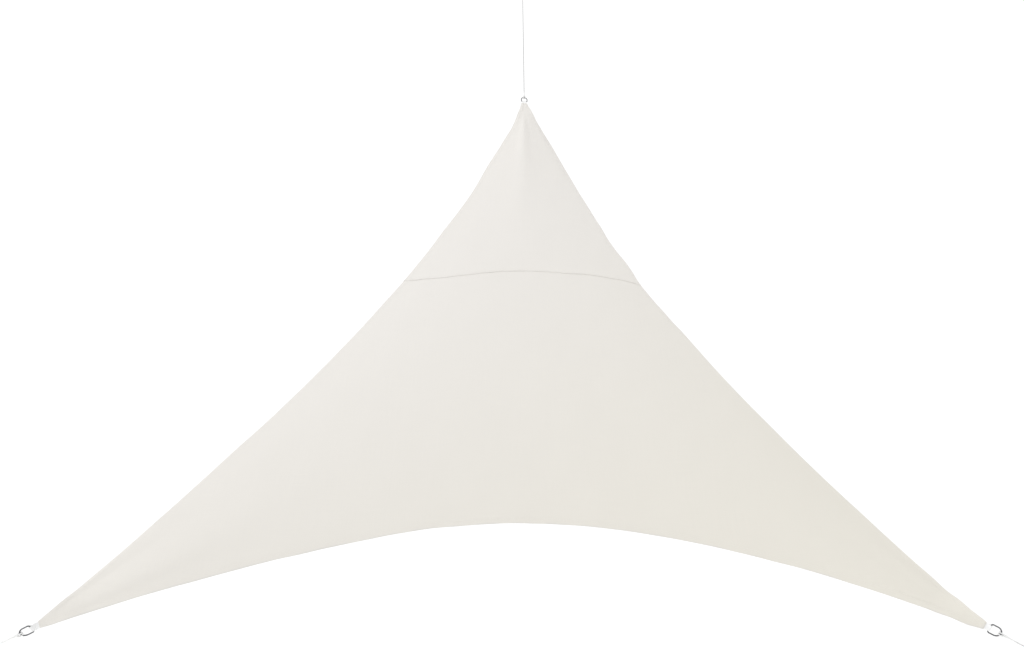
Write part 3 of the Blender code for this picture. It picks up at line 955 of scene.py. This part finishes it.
def add_world(settings):
    """White all round, and a little weaker in front of the sail."""
    shading = Shading(bpy.data.worlds.new("white studio"), "Background")
    _, away, _ = shading.split(shading.coordinates("Generated"))
    strength = (1 - (1 - away.step(*FRONT_FADE)) * settings.front) * settings.sky
    bpy.context.scene.world = shading.build(Color=(1.0, 1.0, 1.0, 1.0), Strength=strength)
    bpy.context.scene.view_settings.view_transform = "Standard"


def add_key_light(settings):
    """A broad soft light from far away to the upper left, in front of the sail."""
    data = bpy.data.lights.new("key light", "SUN")
    data.energy = settings.key
    data.angle = settings.key_width
    data.color = KEY_COLOUR
    light = add_object("key light", data)
    light.rotation_euler = mathutils.Vector(KEY_FROM).to_track_quat("Z", "Y").to_euler()


def add_floor(settings):
    """A wide round floor: rings of points whose distance grows by a constant factor."""
    near_line = to_world(np.zeros(3))
    distance = np.concatenate([[0.0], np.geomspace(*FLOOR_RINGS)])
    angles = round_angles(FLOOR_SIDES)
    points = np.zeros((len(distance), FLOOR_SIDES, 3))
    points[..., 0] = near_line[0] + distance[:, None] * np.cos(angles)
    points[..., 1] = near_line[1] + distance[:, None] * np.sin(angles)
    points[..., 2] = near_line[2] - settings.floor_drop
    faces = grid_faces(len(distance), FLOOR_SIDES, ring=True)[0].tolist()
    middle = [[0, *face[2:]] for face in faces[:FLOOR_SIDES]]
    mesh = bpy.data.meshes.new("studio_floor")
    mesh.from_pydata(points.reshape(-1, 3).tolist(), [], middle + faces[FLOOR_SIDES:])
    mesh.materials.append(floor_finish())
    floor = add_object("studio_floor", mesh)


# ---- Ropes ----

ROPE_SIDES = 32
ROPE_STEP = 0.0009
LOOP_STEP = 0.8 * ROPE_STEP
STRANDS = 8
STRAND_HEIGHT = 0.00040  # a strand's crown above the hollows beside it
SPLICE_STATIONS = 56
SPLICE_SIDES = 48
SPLICE_COVER = 0.0025  # the splice's narrow end runs this far over the rope
SPLICE_TURNS = 0.8  # of its strands, from end to end
SPLICE_TUCKS = 5
SPLICE_ENDS = ((0.10, 0.12), (0.06, 0.72))  # at each end: the share rounded in, and the least
SHADE_ON_RING = 0.3  # share of a rope's painted shade that it has on the ring
SHADE_ON_RING_REACH = 0.03
HITCH_TURN = (0.12, 0.29)  # shares from the loop's end over which the sides of its braid turn

# Half of the hitch on the ring: millimetres along the rope from the bow's centre, across and out
HITCH = (
    (36, 2.5, 0), (31, 2.5, 0), (27, 2.6, -1.2), (23, 2.7, -3.8), (18, 2.8, -5.7), (13.3, 3.2, -4.3),
    (11.2, 3.8, 0), (11.9, 4.4, 4), (16.2, 4.8, 5.8), (21.2, 4.8, 5.4), (25, 4.3, 4.9),
    (27.1, 2.5, 4.9), (27.7, 0, 4.9),
)


def braid(angle, along, pitch):
    """How far a strand stands proud, 0 to 1, on a rope braided of two crossing sets of strands.

    Each set's strands are half waves of a phase that winds round as it goes along, one set to each
    side.  A checkerboard of the two phases says which set lies on top.
    """
    half_set = STRANDS / 2
    wind = 2 * np.pi * along / pitch
    first, second = half_set * (angle + wind), half_set * (angle - wind)
    first_on_top = (np.floor(first / np.pi) + np.floor(second / np.pi)) % 2 == 0
    one, other = np.abs(np.sin(first)), np.abs(np.sin(second))
    crown, length = np.where(first_on_top, (one, other), (other, one))
    return crown**0.6 * (0.45 + 0.55 * length**0.5)


def braided_tube(points, normal, radius, pitch):
    """A braided rope along a path: its shape and how proud each point is."""
    angles = round_angles(ROPE_SIDES)
    proud = braid(angles[None, :], lengths_along(points)[:, None], pitch)
    return with_caps(*tube(points, normal, radius - STRAND_HEIGHT * (1 - proud))), proud


def route_points(name):
    """World points of a rope: a smooth curve through its route, hung below its straight line."""
    reach, sag = np.array(CORNERS[name].route).T
    distance = np.linspace(0, reach[-1], round(reach[-1] / ROPE_STEP) + 1)
    slopes = np.gradient(sag, reach)
    span = np.clip(np.searchsorted(reach, distance) - 1, 0, len(reach) - 2)
    width = reach[span + 1] - reach[span]
    t = (distance - reach[span]) / width
    drop = cubic(t, sag[span], sag[span + 1], width * slopes[span], width * slopes[span + 1])
    middle, along, _, _ = in_world(rope_axes(name))
    hang = drop[:, None] * np.array([0.0, 0.0, 1.0])
    return middle + ROPE_START * along + distance[:, None] * along - hang


def rounded_in(share, reach, least):
    """1 inside, and a quarter round's height over the first shares of reach, down to least."""
    return np.sqrt(np.clip(1 - (1 - np.clip(share / reach, 0, 1)) ** 2, least, 1))


def splice_body(start, along, wide, thin):
    """Two rope legs laid into one: an oval that narrows to the rope, with its strands wound round.

    The half width and half thickness go smoothly to just over the rope's radius; strands are eight half
    waves of the angle, wound along the body, and the ends are rounded in.
    """
    x = np.linspace(0, 1, SPLICE_STATIONS)[:, None]
    angle = round_angles(SPLICE_SIDES)[None, :]
    length = SPLICE_LENGTH + SPLICE_COVER
    narrowing = smooth(0, 0.9, x)
    strand = np.abs(np.sin(STRANDS / 2 * (angle + 2 * np.pi * SPLICE_TURNS * x)))
    tuck = np.abs(np.sin(np.pi * (SPLICE_TUCKS * x + np.floor(4 * (angle / np.pi)) / 2)))
    proud = strand**0.6 * (0.6 + 0.4 * tuck)
    level = rounded_in(x, *SPLICE_ENDS[0]) * rounded_in(1 - x, *SPLICE_ENDS[1])
    hollow = STRAND_HEIGHT * (1 - proud)
    half_width = (SPLICE_WIDE + (SPLICE_END - SPLICE_WIDE) * narrowing) * level - hollow
    half_thin = (SPLICE_THICK + (SPLICE_END - SPLICE_THICK) * narrowing) * level - hollow
    points = (
        start
        + (x * length)[..., None] * along
        + (half_width * np.cos(angle))[..., None] * wide
        + (half_thin * np.sin(angle))[..., None] * thin
    )
    faces, rows, columns = grid_faces(SPLICE_STATIONS, SPLICE_SIDES, ring=True)
    if np.dot(np.cross(wide, thin), along) < 0:
        points, proud = points[:, ::-1], proud[:, ::-1]
    step_round, step_along = 2 * np.pi * SPLICE_END / SPLICE_SIDES, length / SPLICE_STATIONS
    uv = np.stack([columns * step_round, rows * step_along], axis=-1)
    return with_caps(points, faces, uv), proud


def rope_shade_at(name, distance):
    """How much painted shade a rope has at a distance from its splice: least on the ring."""
    return CORNERS[name].painted_rope_shade * (SHADE_ON_RING + (1 - SHADE_ON_RING) * smooth(0.0, SHADE_ON_RING_REACH, distance))


def spliced_loop(name, path, normal, splice, finish, pitch, rope_shade, node):
    """A rope loop and the splice that closes it, as one piece."""
    loop, loop_proud = braided_tube(path, normal, ROPE / 2, pitch)
    body, body_proud = splice
    proud = np.concatenate([loop_proud.ravel(), body_proud.ravel()])
    marks = {"proud": proud, "rope_shade": np.full(len(proud), rope_shade)}
    return add_piece(name, joined([loop, body]), finish, node, marks)


def add_hitch(name, finish, pitch):
    """The rope's spliced loop, hitched on the ring: its legs pass behind the bow and come back over
    it at each side, and the loop's end lies across them."""
    middle, along, across, out = in_world(rope_axes(name))
    half = np.array(HITCH) / 1000
    route = spaced(curve_through(np.concatenate([half, half[-2::-1] * [1, -1, 1]])), LOOP_STEP)
    path = middle + route @ np.stack([along, across, out])
    from_end = np.abs(np.linspace(-1, 1, len(path)))[:, None]
    normal = out + (across - out) * smooth(*HITCH_TURN, from_end)
    splice = splice_body(middle + SPLICE_START * along, along, across, out)
    rope_shade = rope_shade_at(name, 0.0)
    return spliced_loop(f"rope_hitch_{name}", path, normal, splice, finish, pitch, rope_shade, f"splice_{name}")


def add_eye(name, finish, pitch):
    """The spliced eye at the rope's far end."""
    middle, along, across, out = in_world(rope_axes(name))
    mouth = eye_start(name) + SPLICE_LENGTH
    half = EYE_WIDTH / 2
    leg = LEG_SPACING / 2
    side = np.array([
        (mouth - ROPE, leg),
        (mouth, leg),
        (mouth + 0.2 * EYE_LENGTH, leg + 0.28 * half),
        (mouth + 0.4 * EYE_LENGTH, leg + 0.62 * half),
    ])
    bow = arc((mouth + EYE_LENGTH - ROPE / 2 - half, 0), half, 90, -90, 8)
    route = spaced(curve_through(np.concatenate([side, bow, side[::-1] * [1, -1]])), LOOP_STEP)
    path = middle + route @ np.stack([along, across])
    splice = splice_body(middle + mouth * along, -along, across, out)
    rope_shade = rope_shade_at(name, eye_start(name))
    return spliced_loop(f"rope_eye_{name}", path, out, splice, finish, pitch, rope_shade, f"eye_{name}")


def add_rope(name, finish, pitch):
    """A taut rope from its hitch's splice to its eye's."""
    path = route_points(name)
    _, _, _, out = in_world(rope_axes(name))
    shape, proud = braided_tube(path, out, ROPE / 2, pitch)
    distance = np.linalg.norm(path - path[0], axis=1)
    marks = {"proud": proud, "rope_shade": np.repeat(rope_shade_at(name, distance), ROPE_SIDES)}
    piece = add_piece(f"braided_rope_{name}", shape, finish, f"rope_{name}", marks)
    centre = path[:: max(1, len(path) // 200)].tolist() + [path[-1].tolist()]


# ---- Rings and straps ----

RING_STEP = 0.0009
RING_SIDES = 28
RUB_WIDTH = 0.007
STRAP_RIBS = 11
RIB_HEIGHT = 0.00012
STRAP_COLUMNS = 67
STRAP_STEP = 0.0008
SELVEDGE = 0.04  # share of the half width over which the webbing rounds off


def add_ring(name, finish):
    """A D-ring: a round wire along a straight bar, two rounded corners and a half-round bow."""
    half, corner = RING_WIDTH / 2, RING_CORNER
    outline = np.concatenate([
        arc((BAR - half, 0), half, -90, 90, 64),
        arc((-BAR + corner, half - corner), corner, 90, 180, 20),
        arc((-BAR + corner, -half + corner), corner, 180, 270, 20),
    ])
    outline = spaced(np.concatenate([outline, outline[:1]]), RING_STEP)[:-1]
    forward = unit(np.roll(outline, -1, axis=0) - np.roll(outline, 1, axis=0))
    angles = round_angles(RING_SIDES)
    reach = (WIRE / 2 * np.cos(angles))[None, :, None]
    flat = outline[:, None] - turn_left(forward)[:, None] * reach
    rise = np.broadcast_to(-WIRE / 2 * np.sin(angles), flat.shape[:2])
    middle, pull, across, out = in_world(ring_axes(name))
    points = middle + flat[..., :1] * pull + flat[..., 1:] * across + rise[..., None] * out
    stations = len(outline)
    faces, rows, columns = grid_faces(stations + 1, RING_SIDES, ring=True)
    uv = np.stack([columns * np.pi * WIRE / RING_SIDES, rows * RING_STEP], axis=-1)
    at_bow = np.exp(-((outline[:, 1] / RUB_WIDTH) ** 2)) * (outline[:, 0] > 0)
    at_bar = smooth(-BAR + 2 * corner, -BAR, outline[:, 0]) * (np.abs(outline[:, 1]) < half)
    inner = np.clip(-np.cos(angles), 0, 1)[None, :]
    marks = {"rubbed": inner * np.maximum(at_bow, 0.6 * at_bar)[:, None]}
    shape = points, (faces % (stations * RING_SIDES)).tolist(), uv
    add_piece(f"wire_ring_{name}", shape, finish, f"ring_{name}", marks)


def strap_path(name):
    """A strap's middle as (inward, height): out on the upper leg, round the ring's bar, and back."""
    leg = (STRAP_SPLIT + STRAP_THICKNESS) / 2
    radius = WIRE / 2 + GAP + STRAP_THICKNESS / 2
    upper = np.array([(tip_start(name) + STRAP_TONGUE, leg), (BAR + STRAP_MEET, leg)])
    turn = arc((BAR, 0), radius, 68, 292, 60)
    route = np.concatenate([upper, turn, upper[::-1] * [1, -1]])
    return spaced(eased(spaced(route, STRAP_STEP / 2), 8), STRAP_STEP)


def add_strap(name, finish):
    """Ribbed webbing as a closed shell: its path's two faces half a thickness either side of it,
    raised into ribs, narrowing to a rounded selvedge at each side."""
    path = strap_path(name)
    forward = unit(np.gradient(path, axis=0))
    share = np.linspace(1, -1, STRAP_COLUMNS)
    ribs = RIB_HEIGHT * (np.abs(np.sin(np.pi * STRAP_RIBS * (share + 1) / 2)) ** 0.5 - 1)
    selvedge = np.sqrt(1 - np.clip((np.abs(share) - 1 + SELVEDGE) / SELVEDGE, 0, 1) ** 2)
    half = ((STRAP_THICKNESS / 2 + ribs) * selvedge)[None, :, None]
    sides = []
    for side in (-1, 1):
        offset = path[:, None] + side * turn_left(forward)[:, None] * half
        across = np.broadcast_to(share * STRAP_WIDTH / 2, offset.shape[:2])
        sides.append(to_world(in_corner(name, offset[..., 0], across, offset[..., 1])))
    outer, inner = sides
    loop = np.concatenate([outer, inner[:, ::-1][:, 1:-1]], axis=1)
    faces, rows, columns = grid_faces(*loop.shape[:2], ring=True)
    folded = np.where(columns < STRAP_COLUMNS, columns, 2 * (STRAP_COLUMNS - 1) - columns)
    uv = np.stack([folded * STRAP_WIDTH / (STRAP_COLUMNS - 1), rows * STRAP_STEP], axis=-1)
    add_piece(f"webbing_{name}", with_caps(loop, faces, uv), finish, f"strap_{name}")


# ---- Cloth ----

LOWER_INNER_COLUMNS = 250
UPPER_INNER_COLUMNS = 170
HEM_COLUMNS = (0.0, 0.06, 0.35, 0.70, 1.0)  # shares of the hem's width
NEAR_HEM_ROWS = (-1.0, -0.94, -0.65, -0.30, 0.0)  # values of v
HEM_STEP = 0.0015  # the folded layer's end drops to one layer over this distance
TIP_SHARE = 0.44  # near the top tip each hem takes up to this share of the width
LOWER_ROWS = 88
UPPER_ROWS = 96
CROWDED = 1.25  # the power by which rows lie closer at a panel's end away from the seam
RIM_BULGE = 0.8  # of half the rim's thickness


def row_length(v):
    """How long the row at v is, from the left edge to the right one."""
    return np.linalg.norm(right_edge(v) - left_edge(v), axis=-1)


def edge_slant(v, a):
    """The sine of the angle between a row and the side edge at its end."""
    v = np.clip(v, 0.001, 1.999)
    tangent = unit(flat_places(v + 0.001, a) - flat_places(v - 0.001, a))
    row = unit(right_edge(v) - left_edge(v))
    return np.abs(tangent[..., 0] * row[..., 1] - tangent[..., 1] * row[..., 0])


def hem_share(v, a, width):
    """How far a reaches in from a side edge over a hem of that width, in the row at v."""
    v = np.clip(v, 0, 2)
    return np.minimum(width / edge_slant(v, np.full_like(v, a)) / row_length(v), TIP_SHARE)


def panel_places(v, inner_columns, cloth):
    """A panel's grid of (v, a): rows at v, with columns over both hems and evenly between them.

    Also gives how thick the folded hem is there, 0 to 1.
    """
    share = np.array(HEM_COLUMNS)
    left, right = (hem_share(v, a, cloth.hem_width)[:, None] for a in (0.0, 1.0))
    step = np.minimum(HEM_STEP / row_length(np.clip(v, 0, 2)), 0.3 * (1 - 2 * TIP_SHARE))[:, None]
    start, end = left + step, 1 - right - step
    inner = start + np.linspace(0, 1, inner_columns) * (end - start)
    a = np.concatenate([left * share, inner, 1 - right * share[::-1]], axis=1)
    met = smooth(0.75 * TIP_SHARE, TIP_SHARE, (left + right) / 2)
    folded = np.ones(a.shape)
    folded[:, len(share) : -len(share)] = met
    folded[v <= 0] = 1.0
    return np.broadcast_to(v[:, None], a.shape), a, folded


def from_free_edge(v, a):
    """Distance from the nearest free edge, measured square to the side edges and to the near one."""
    length = row_length(np.clip(v, 0, 2))
    left = a * length * edge_slant(v, np.zeros_like(a))
    right = (1 - a) * length * edge_slant(v, np.ones_like(a))
    near = np.linalg.norm(flat_places(v, a) - near_edge(a), axis=-1)
    return np.minimum(np.minimum(left, right), near)


LOWER_LENGTH = np.linalg.norm(left_edge(1.0) - left_edge(0.0))
UPPER_LENGTH = np.linalg.norm(left_edge(2.0) - left_edge(1.0))
LAP_END = 1 + LAP_WIDTH / UPPER_LENGTH
LOWER_EASE = 1 - LAP_EASE / LOWER_LENGTH
UPPER_EASE = 1 + LAP_EASE / UPPER_LENGTH


def cloth_height(v, a, flat, thickness, layer):
    """Height of a panel's middle: the relief, small seam puckers, and in the lap half a thickness to
    the panel's own side, eased in over a short way.  layer is 1 for the upper panel, -1 for the
    lower one."""
    lapped = 1 - smooth(LAP_END, UPPER_EASE, v) if layer > 0 else smooth(LOWER_EASE, 1, v)
    from_seam = np.abs(v - (1 + LAP_END) / 2) * LOWER_LENGTH
    wave = np.cos(2 * np.pi * a * row_length(1.0) / PUCKER_PITCH + 2 * np.sin(9 * a))
    pucker = PUCKER_HEIGHT * wave * np.exp(-((from_seam / PUCKER_REACH) ** 2))
    return main_relief(flat) + fine_relief(flat) + pucker + lapped * layer * (thickness + GAP) / 2


def top_gathers(flat):
    """Two small gathers where the cloth is drawn together at the top tip, side by side.  They fade
    out down the cloth, and only stand up, clear of the webbing."""
    inward, across = corner_coordinates(flat, "top")
    reach = np.clip(np.abs(across) / CORNERS["top"].tip, 0, 1)
    fade = np.exp(-(((inward - tip_start("top")) / GATHER_REACH) ** 2))
    return GATHER_HEIGHT * fade * (0.5 - 0.5 * np.cos(2 * np.pi * reach))


def rim_outward(flat):
    """Flat outward directions along a grid's rim, which is followed to the left."""
    return -turn_left(unit(np.roll(flat, -1, axis=0) - np.roll(flat, 1, axis=0)))


def add_panel(name, v, inner_columns, layer, cloth, finish, node):
    """A cloth panel as a closed shell: its outer face, its inner face with the folded hem's extra
    layers, and a rounded rim between them."""
    v, a, folded = panel_places(v, inner_columns, cloth)
    flat = flat_places(v, a)
    thickness = cloth.thickness + (cloth.hem - cloth.thickness) * folded
    middle = cloth_height(v, a, flat, cloth.thickness, layer) + top_gathers(flat)
    high = middle + cloth.thickness / 2
    low = high - thickness
    rows, columns = v.shape
    below = rows * columns
    number = np.arange(below).reshape(rows, columns)
    rim = np.concatenate([number[0, :-1], number[:-1, -1], number[-1, :0:-1], number[:0:-1, 0]])
    rim_flat = flat.reshape(-1, 2)[rim]
    bulge = rim_flat + rim_outward(rim_flat) * (thickness.ravel()[rim] / 2 * RIM_BULGE)[:, None]
    points = np.concatenate([
        cloth_world(flat, high).reshape(-1, 3),
        cloth_world(flat, low).reshape(-1, 3),
        cloth_world(bulge, (high + low).ravel()[rim] / 2),
    ])
    outer, _, _ = grid_faces(rows, columns)
    bulges = 2 * below + np.arange(len(rim))
    next_rim, next_bulge = np.roll(rim, -1), np.roll(bulges, -1)
    upper_wall = np.stack([bulges, next_bulge, next_rim, rim], axis=1)
    lower_wall = np.stack([rim + below, next_rim + below, next_bulge, bulges], axis=1)
    faces = np.concatenate([outer, outer[:, ::-1] + below, upper_wall, lower_wall])
    places = np.concatenate([flat.reshape(-1, 2), flat.reshape(-1, 2), bulge])
    from_edge = from_free_edge(v, a).ravel()
    marks = {"from_edge": np.concatenate([from_edge, from_edge, np.zeros(len(rim))])}
    return add_piece(name, (points, faces.tolist(), places[faces.ravel()]), finish, node, marks)


def lower_rows():
    """Values of v down the lower panel: over the near hem, then crowded towards it, to the lap."""
    step = HEM_STEP / LOWER_LENGTH
    middle = step + (LOWER_EASE - step) * np.linspace(0, 1, LOWER_ROWS) ** CROWDED
    lap = np.linspace(LOWER_EASE, 1, 8)[1:]
    return np.concatenate([NEAR_HEM_ROWS, middle, lap, [(1 + LAP_END) / 2, LAP_END]])


def upper_rows():
    """Values of v up the upper panel: over the lap, then crowded towards the top tip."""
    lap = np.linspace(1, LAP_END, 4)
    out = np.linspace(LAP_END, UPPER_EASE, 7)[1:]
    rest = 2 - (2 - UPPER_EASE) * np.linspace(1, 0, UPPER_ROWS) ** CROWDED
    return np.concatenate([lap, out, rest[1:]])


# ---- Sewing ----

THREAD_STATIONS = np.array([-1.0, -0.62, 0.62, 1.0])  # shares of half a stitch
THREAD_WIDTHS = np.array([0.35, 1.0, 1.0, 0.35])
THREAD_ARCH = np.array([-0.15, 0.4, 0.4, -0.15])  # of the thread's radius, above the cloth
STITCH_SHARE = 0.43  # half of the thread that shows, as a share of a stitch's length
SEAM_ROWS = (0.003, 0.011)  # above the lap's lower edge
HEM_ROWS = (0.0030, 0.0085)  # outside the end of the folded layer
BOX_START = 0.006  # the box of stitches begins this far in from the cloth's tip
BOX_LENGTH = 0.034
BOX_WIDTH = 0.018
ROW_CLEARANCE = 0.004
NEAR_HEM_POINTS = 1500  # places along a row of stitches
ROW_POINTS = 700
BOX_POINTS = 30
NORMAL_STEP = 0.0005


def surface_frames(flat, height):
    """World places over flat places, with the surface's normals from steps across and up, over
    which the height changes as the main relief does."""
    here = cloth_world(flat, height)
    level = main_relief(flat)
    right, up = (
        cloth_world(flat + step, height + (main_relief(flat + step) - level)) - here
        for step in ([NORMAL_STEP, 0.0], [0.0, NORMAL_STEP])
    )
    return here, unit(np.cross(right, up))


def stitches(places, normals, cloth):
    """Thread stitches along a path: each is a four-sided spindle along the path whose ends dip into
    the cloth.  Gives their shape."""
    along = lengths_along(places)
    count = max(1, int(along[-1] / cloth.stitch))
    at = (np.arange(count) + 0.5) * along[-1] / count
    normal = unit(read_off(at, along, normals))
    forward = unit(read_off(at + 0.001, along, places) - read_off(at - 0.001, along, places))
    half = cloth.stitch * STITCH_SHARE
    angles = np.radians([45, 135, 225, 315])
    radius = cloth.thread / 2
    ring = radius * THREAD_WIDTHS[:, None]
    height = ring * np.sin(angles) + THREAD_ARCH[:, None] * radius
    points = (
        read_off(at, along, places)[:, None, None]
        + (THREAD_STATIONS * half)[None, :, None, None] * forward[:, None, None]
        + (ring * np.cos(angles))[None, :, :, None] * np.cross(normal, forward)[:, None, None]
        + height[None, :, :, None] * normal[:, None, None]
    )
    quads, rows, columns = grid_faces(4, 4, ring=True)
    template = np.concatenate([quads, [[3, 2, 1, 0], [12, 13, 14, 15]]])
    uv = np.stack([columns * radius * 1.4, rows * half * 0.66], axis=-1)
    uv = np.concatenate([uv, np.zeros((2, 4, 2))])
    faces = (template[None] + points[0].size // 3 * np.arange(count)[:, None, None]).reshape(-1, 4)
    return points, faces.tolist(), np.broadcast_to(uv, (count, *uv.shape))


def sewn(name, lines, cloth, finish):
    """A piece of sewing made of several lines of stitches, each (places, normals)."""
    shape = joined([stitches(places, normals, cloth) for places, normals in lines])
    return add_piece(name, shape, finish)


def both_faces(v, a, layer_above, layer_below, thickness_below, cloth):
    """A sewing line on the outer and on the inner face of the cloth, as (places, normals)."""
    flat = flat_places(v, a)
    above, below = (
        cloth_height(v, a, flat, cloth.thickness, layer) + top_gathers(flat) + cloth.thickness / 2
        for layer in (layer_above, layer_below)
    )
    upper, up = surface_frames(flat, above)
    lower, down = surface_frames(flat, below - thickness_below)
    return [(upper, up), (lower, -down)]


def clear_of_boxes(v, a):
    """The places of a row that lie further in than the crossed boxes at the corners."""
    flat = flat_places(v, a)
    clear = np.ones(len(v), bool)
    for name in CORNERS:
        inward, _ = corner_coordinates(flat, name)
        clear &= inward > tip_start(name) + BOX_START + BOX_LENGTH + ROW_CLEARANCE
    return v[clear], a[clear]


def near_hem_lines(cloth):
    """The rows along the near hem: each at v = -inset / hem width."""
    for inset in HEM_ROWS:
        a = np.linspace(0.0, 1.0, NEAR_HEM_POINTS)
        v, a = clear_of_boxes(np.full_like(a, -inset / cloth.hem_width), a)
        yield from both_faces(v, a, -1, -1, cloth.hem, cloth)


def side_hem_lines(right, cloth):
    """The rows along a side hem, from the near tip over the seam to the top tip."""
    for inset in HEM_ROWS:
        for low, high, above, below in ((0.0, 1.0, -1, -1), (1.0, LAP_END, 1, -1), (LAP_END, 1.999, 1, 1)):
            v = np.linspace(low, high, ROW_POINTS)
            a = hem_share(v, float(right), cloth.hem_width) * (1 - inset / cloth.hem_width)
            v, a = clear_of_boxes(v, 1 - a if right else a)
            yield from both_faces(v, a, above, below, cloth.hem, cloth)


def seam_lines(cloth):
    """The rows along the seam, through both panels where they lap."""
    for inset in SEAM_ROWS:
        a = np.linspace(0.004, 0.996, ROW_POINTS)
        v = np.full_like(a, 1 + inset / UPPER_LENGTH)
        yield from both_faces(v, a, 1, -1, cloth.thickness, cloth)


def tip_lines(name, cloth):
    """A crossed box of stitches through the cloth and the webbing's tongue at a corner, on the
    cloth's outer face and on the webbing's lower leg."""
    start = tip_start(name) + BOX_START
    end, half = start + BOX_LENGTH, min(BOX_WIDTH / 2, CORNERS[name].tip * 0.75)
    corners = {"a": (start, -half), "b": (start, half), "c": (end, half), "d": (end, -half)}
    for first, last in ("ab", "bc", "cd", "da", "ac", "bd"):
        flat = flat_in_corner(name, *np.linspace(corners[first], corners[last], BOX_POINTS).T)
        top = main_relief(flat) + top_gathers(flat) + cloth.thickness / 2
        yield surface_frames(flat, top)
        under = np.full_like(top, -(STRAP_SPLIT / 2 + STRAP_THICKNESS))
        lower, down = surface_frames(flat, under)
        yield lower, -down


# ---- Operators ----


class SAIL_OT_camera(bpy.types.Operator):
    """Place the level camera in front of the near edge, a little below the height of the sail's middle"""

    bl_idname = "sail.camera"
    bl_label = "Place camera"

    def execute(self, context):
        add_camera(context.scene.sail_studio)
        return {"FINISHED"}


class SAIL_OT_ropes(bpy.types.Operator):
    """Braid the three ropes, with their hitches on the rings and their spliced eyes"""

    bl_idname = "sail.ropes"
    bl_label = "Braid ropes"

    def execute(self, context):
        settings = context.scene.sail_rope
        finish = rope_finish(settings)
        for name in CORNERS:
            hitch = add_hitch(name, finish, settings.braid)
            eye = add_eye(name, finish, settings.braid)
            add_rope(name, finish, settings.braid)
        return {"FINISHED"}


class SAIL_OT_rings(bpy.types.Operator):
    """Bend the three wire D-rings"""

    bl_idname = "sail.rings"
    bl_label = "Bend rings"

    def execute(self, context):
        finish = steel_finish(context.scene.sail_ring)
        for name in CORNERS:
            add_ring(name, finish)
        return {"FINISHED"}


class SAIL_OT_straps(bpy.types.Operator):
    """Fold the webbing straps round the rings' bars"""

    bl_idname = "sail.straps"
    bl_label = "Fold straps"

    def execute(self, context):
        finish = webbing_finish(context.scene.sail_rope)
        for name in CORNERS:
            add_strap(name, finish)
        return {"FINISHED"}


class SAIL_OT_cloth(bpy.types.Operator):
    """Cut, hem and sew the two cloth panels"""

    bl_idname = "sail.cloth"
    bl_label = "Sew cloth"

    def execute(self, context):
        cloth = context.scene.sail_cloth
        finish = cloth_finish(cloth)
        lower = add_panel("cloth_lower", lower_rows(), LOWER_INNER_COLUMNS, -1, cloth, finish, "lower_panel")
        upper = add_panel("cloth_upper", upper_rows(), UPPER_INNER_COLUMNS, 1, cloth, finish, "upper_panel")
        thread = thread_finish(cloth)
        rows = {
            "near_hem": near_hem_lines(cloth),
            "left_hem": side_hem_lines(False, cloth),
            "right_hem": side_hem_lines(True, cloth),
            "seam": seam_lines(cloth),
            **{f"tip_{name}": tip_lines(name, cloth) for name in CORNERS},
        }
        sewing = {row: sewn(f"stitching_{row}", lines, cloth, thread) for row, lines in rows.items()}
        return {"FINISHED"}


class SAIL_OT_studio(bpy.types.Operator):
    """Set up the white surroundings, the soft key light and the pale floor"""

    bl_idname = "sail.studio"
    bl_label = "Set up studio"

    def execute(self, context):
        settings = context.scene.sail_studio
        add_world(settings)
        add_key_light(settings)
        add_floor(settings)
        return {"FINISHED"}


STEPS = (SAIL_OT_camera, SAIL_OT_ropes, SAIL_OT_rings, SAIL_OT_straps, SAIL_OT_cloth, SAIL_OT_studio)
SETTINGS = {
    "sail_cloth": SailClothSettings,
    "sail_rope": SailRopeSettings,
    "sail_ring": SailRingSettings,
    "sail_studio": SailStudioSettings,
}


class SAIL_PT_panel(bpy.types.Panel):
    """The sail's settings and the steps that build its looks"""

    bl_idname = "SAIL_PT_panel"
    bl_label = "Shade Sail"
    bl_space_type = "VIEW_3D"
    bl_region_type = "UI"
    bl_category = "Shade Sail"

    def draw(self, context):
        for group, kind in SETTINGS.items():
            box = self.layout.box()
            for name in kind.__annotations__:
                box.prop(getattr(context.scene, group), name)
        for step in STEPS:
            self.layout.operator(step.bl_idname)


def register():
    for name, kind in SETTINGS.items():
        bpy.utils.register_class(kind)
        setattr(bpy.types.Scene, name, PointerProperty(type=kind))
    for made in (*STEPS, SAIL_PT_panel):
        bpy.utils.register_class(made)


def unregister():
    for made in (SAIL_PT_panel, *reversed(STEPS)):
        bpy.utils.unregister_class(made)
    for name, kind in SETTINGS.items():
        delattr(bpy.types.Scene, name)
        bpy.utils.unregister_class(kind)


def main():
    register()
    bpy.ops.sail.camera()
    bpy.ops.sail.ropes()
    bpy.ops.sail.rings()
    bpy.ops.sail.straps()
    bpy.ops.sail.cloth()
    bpy.ops.sail.studio()


if __name__ == "__main__":
    main()
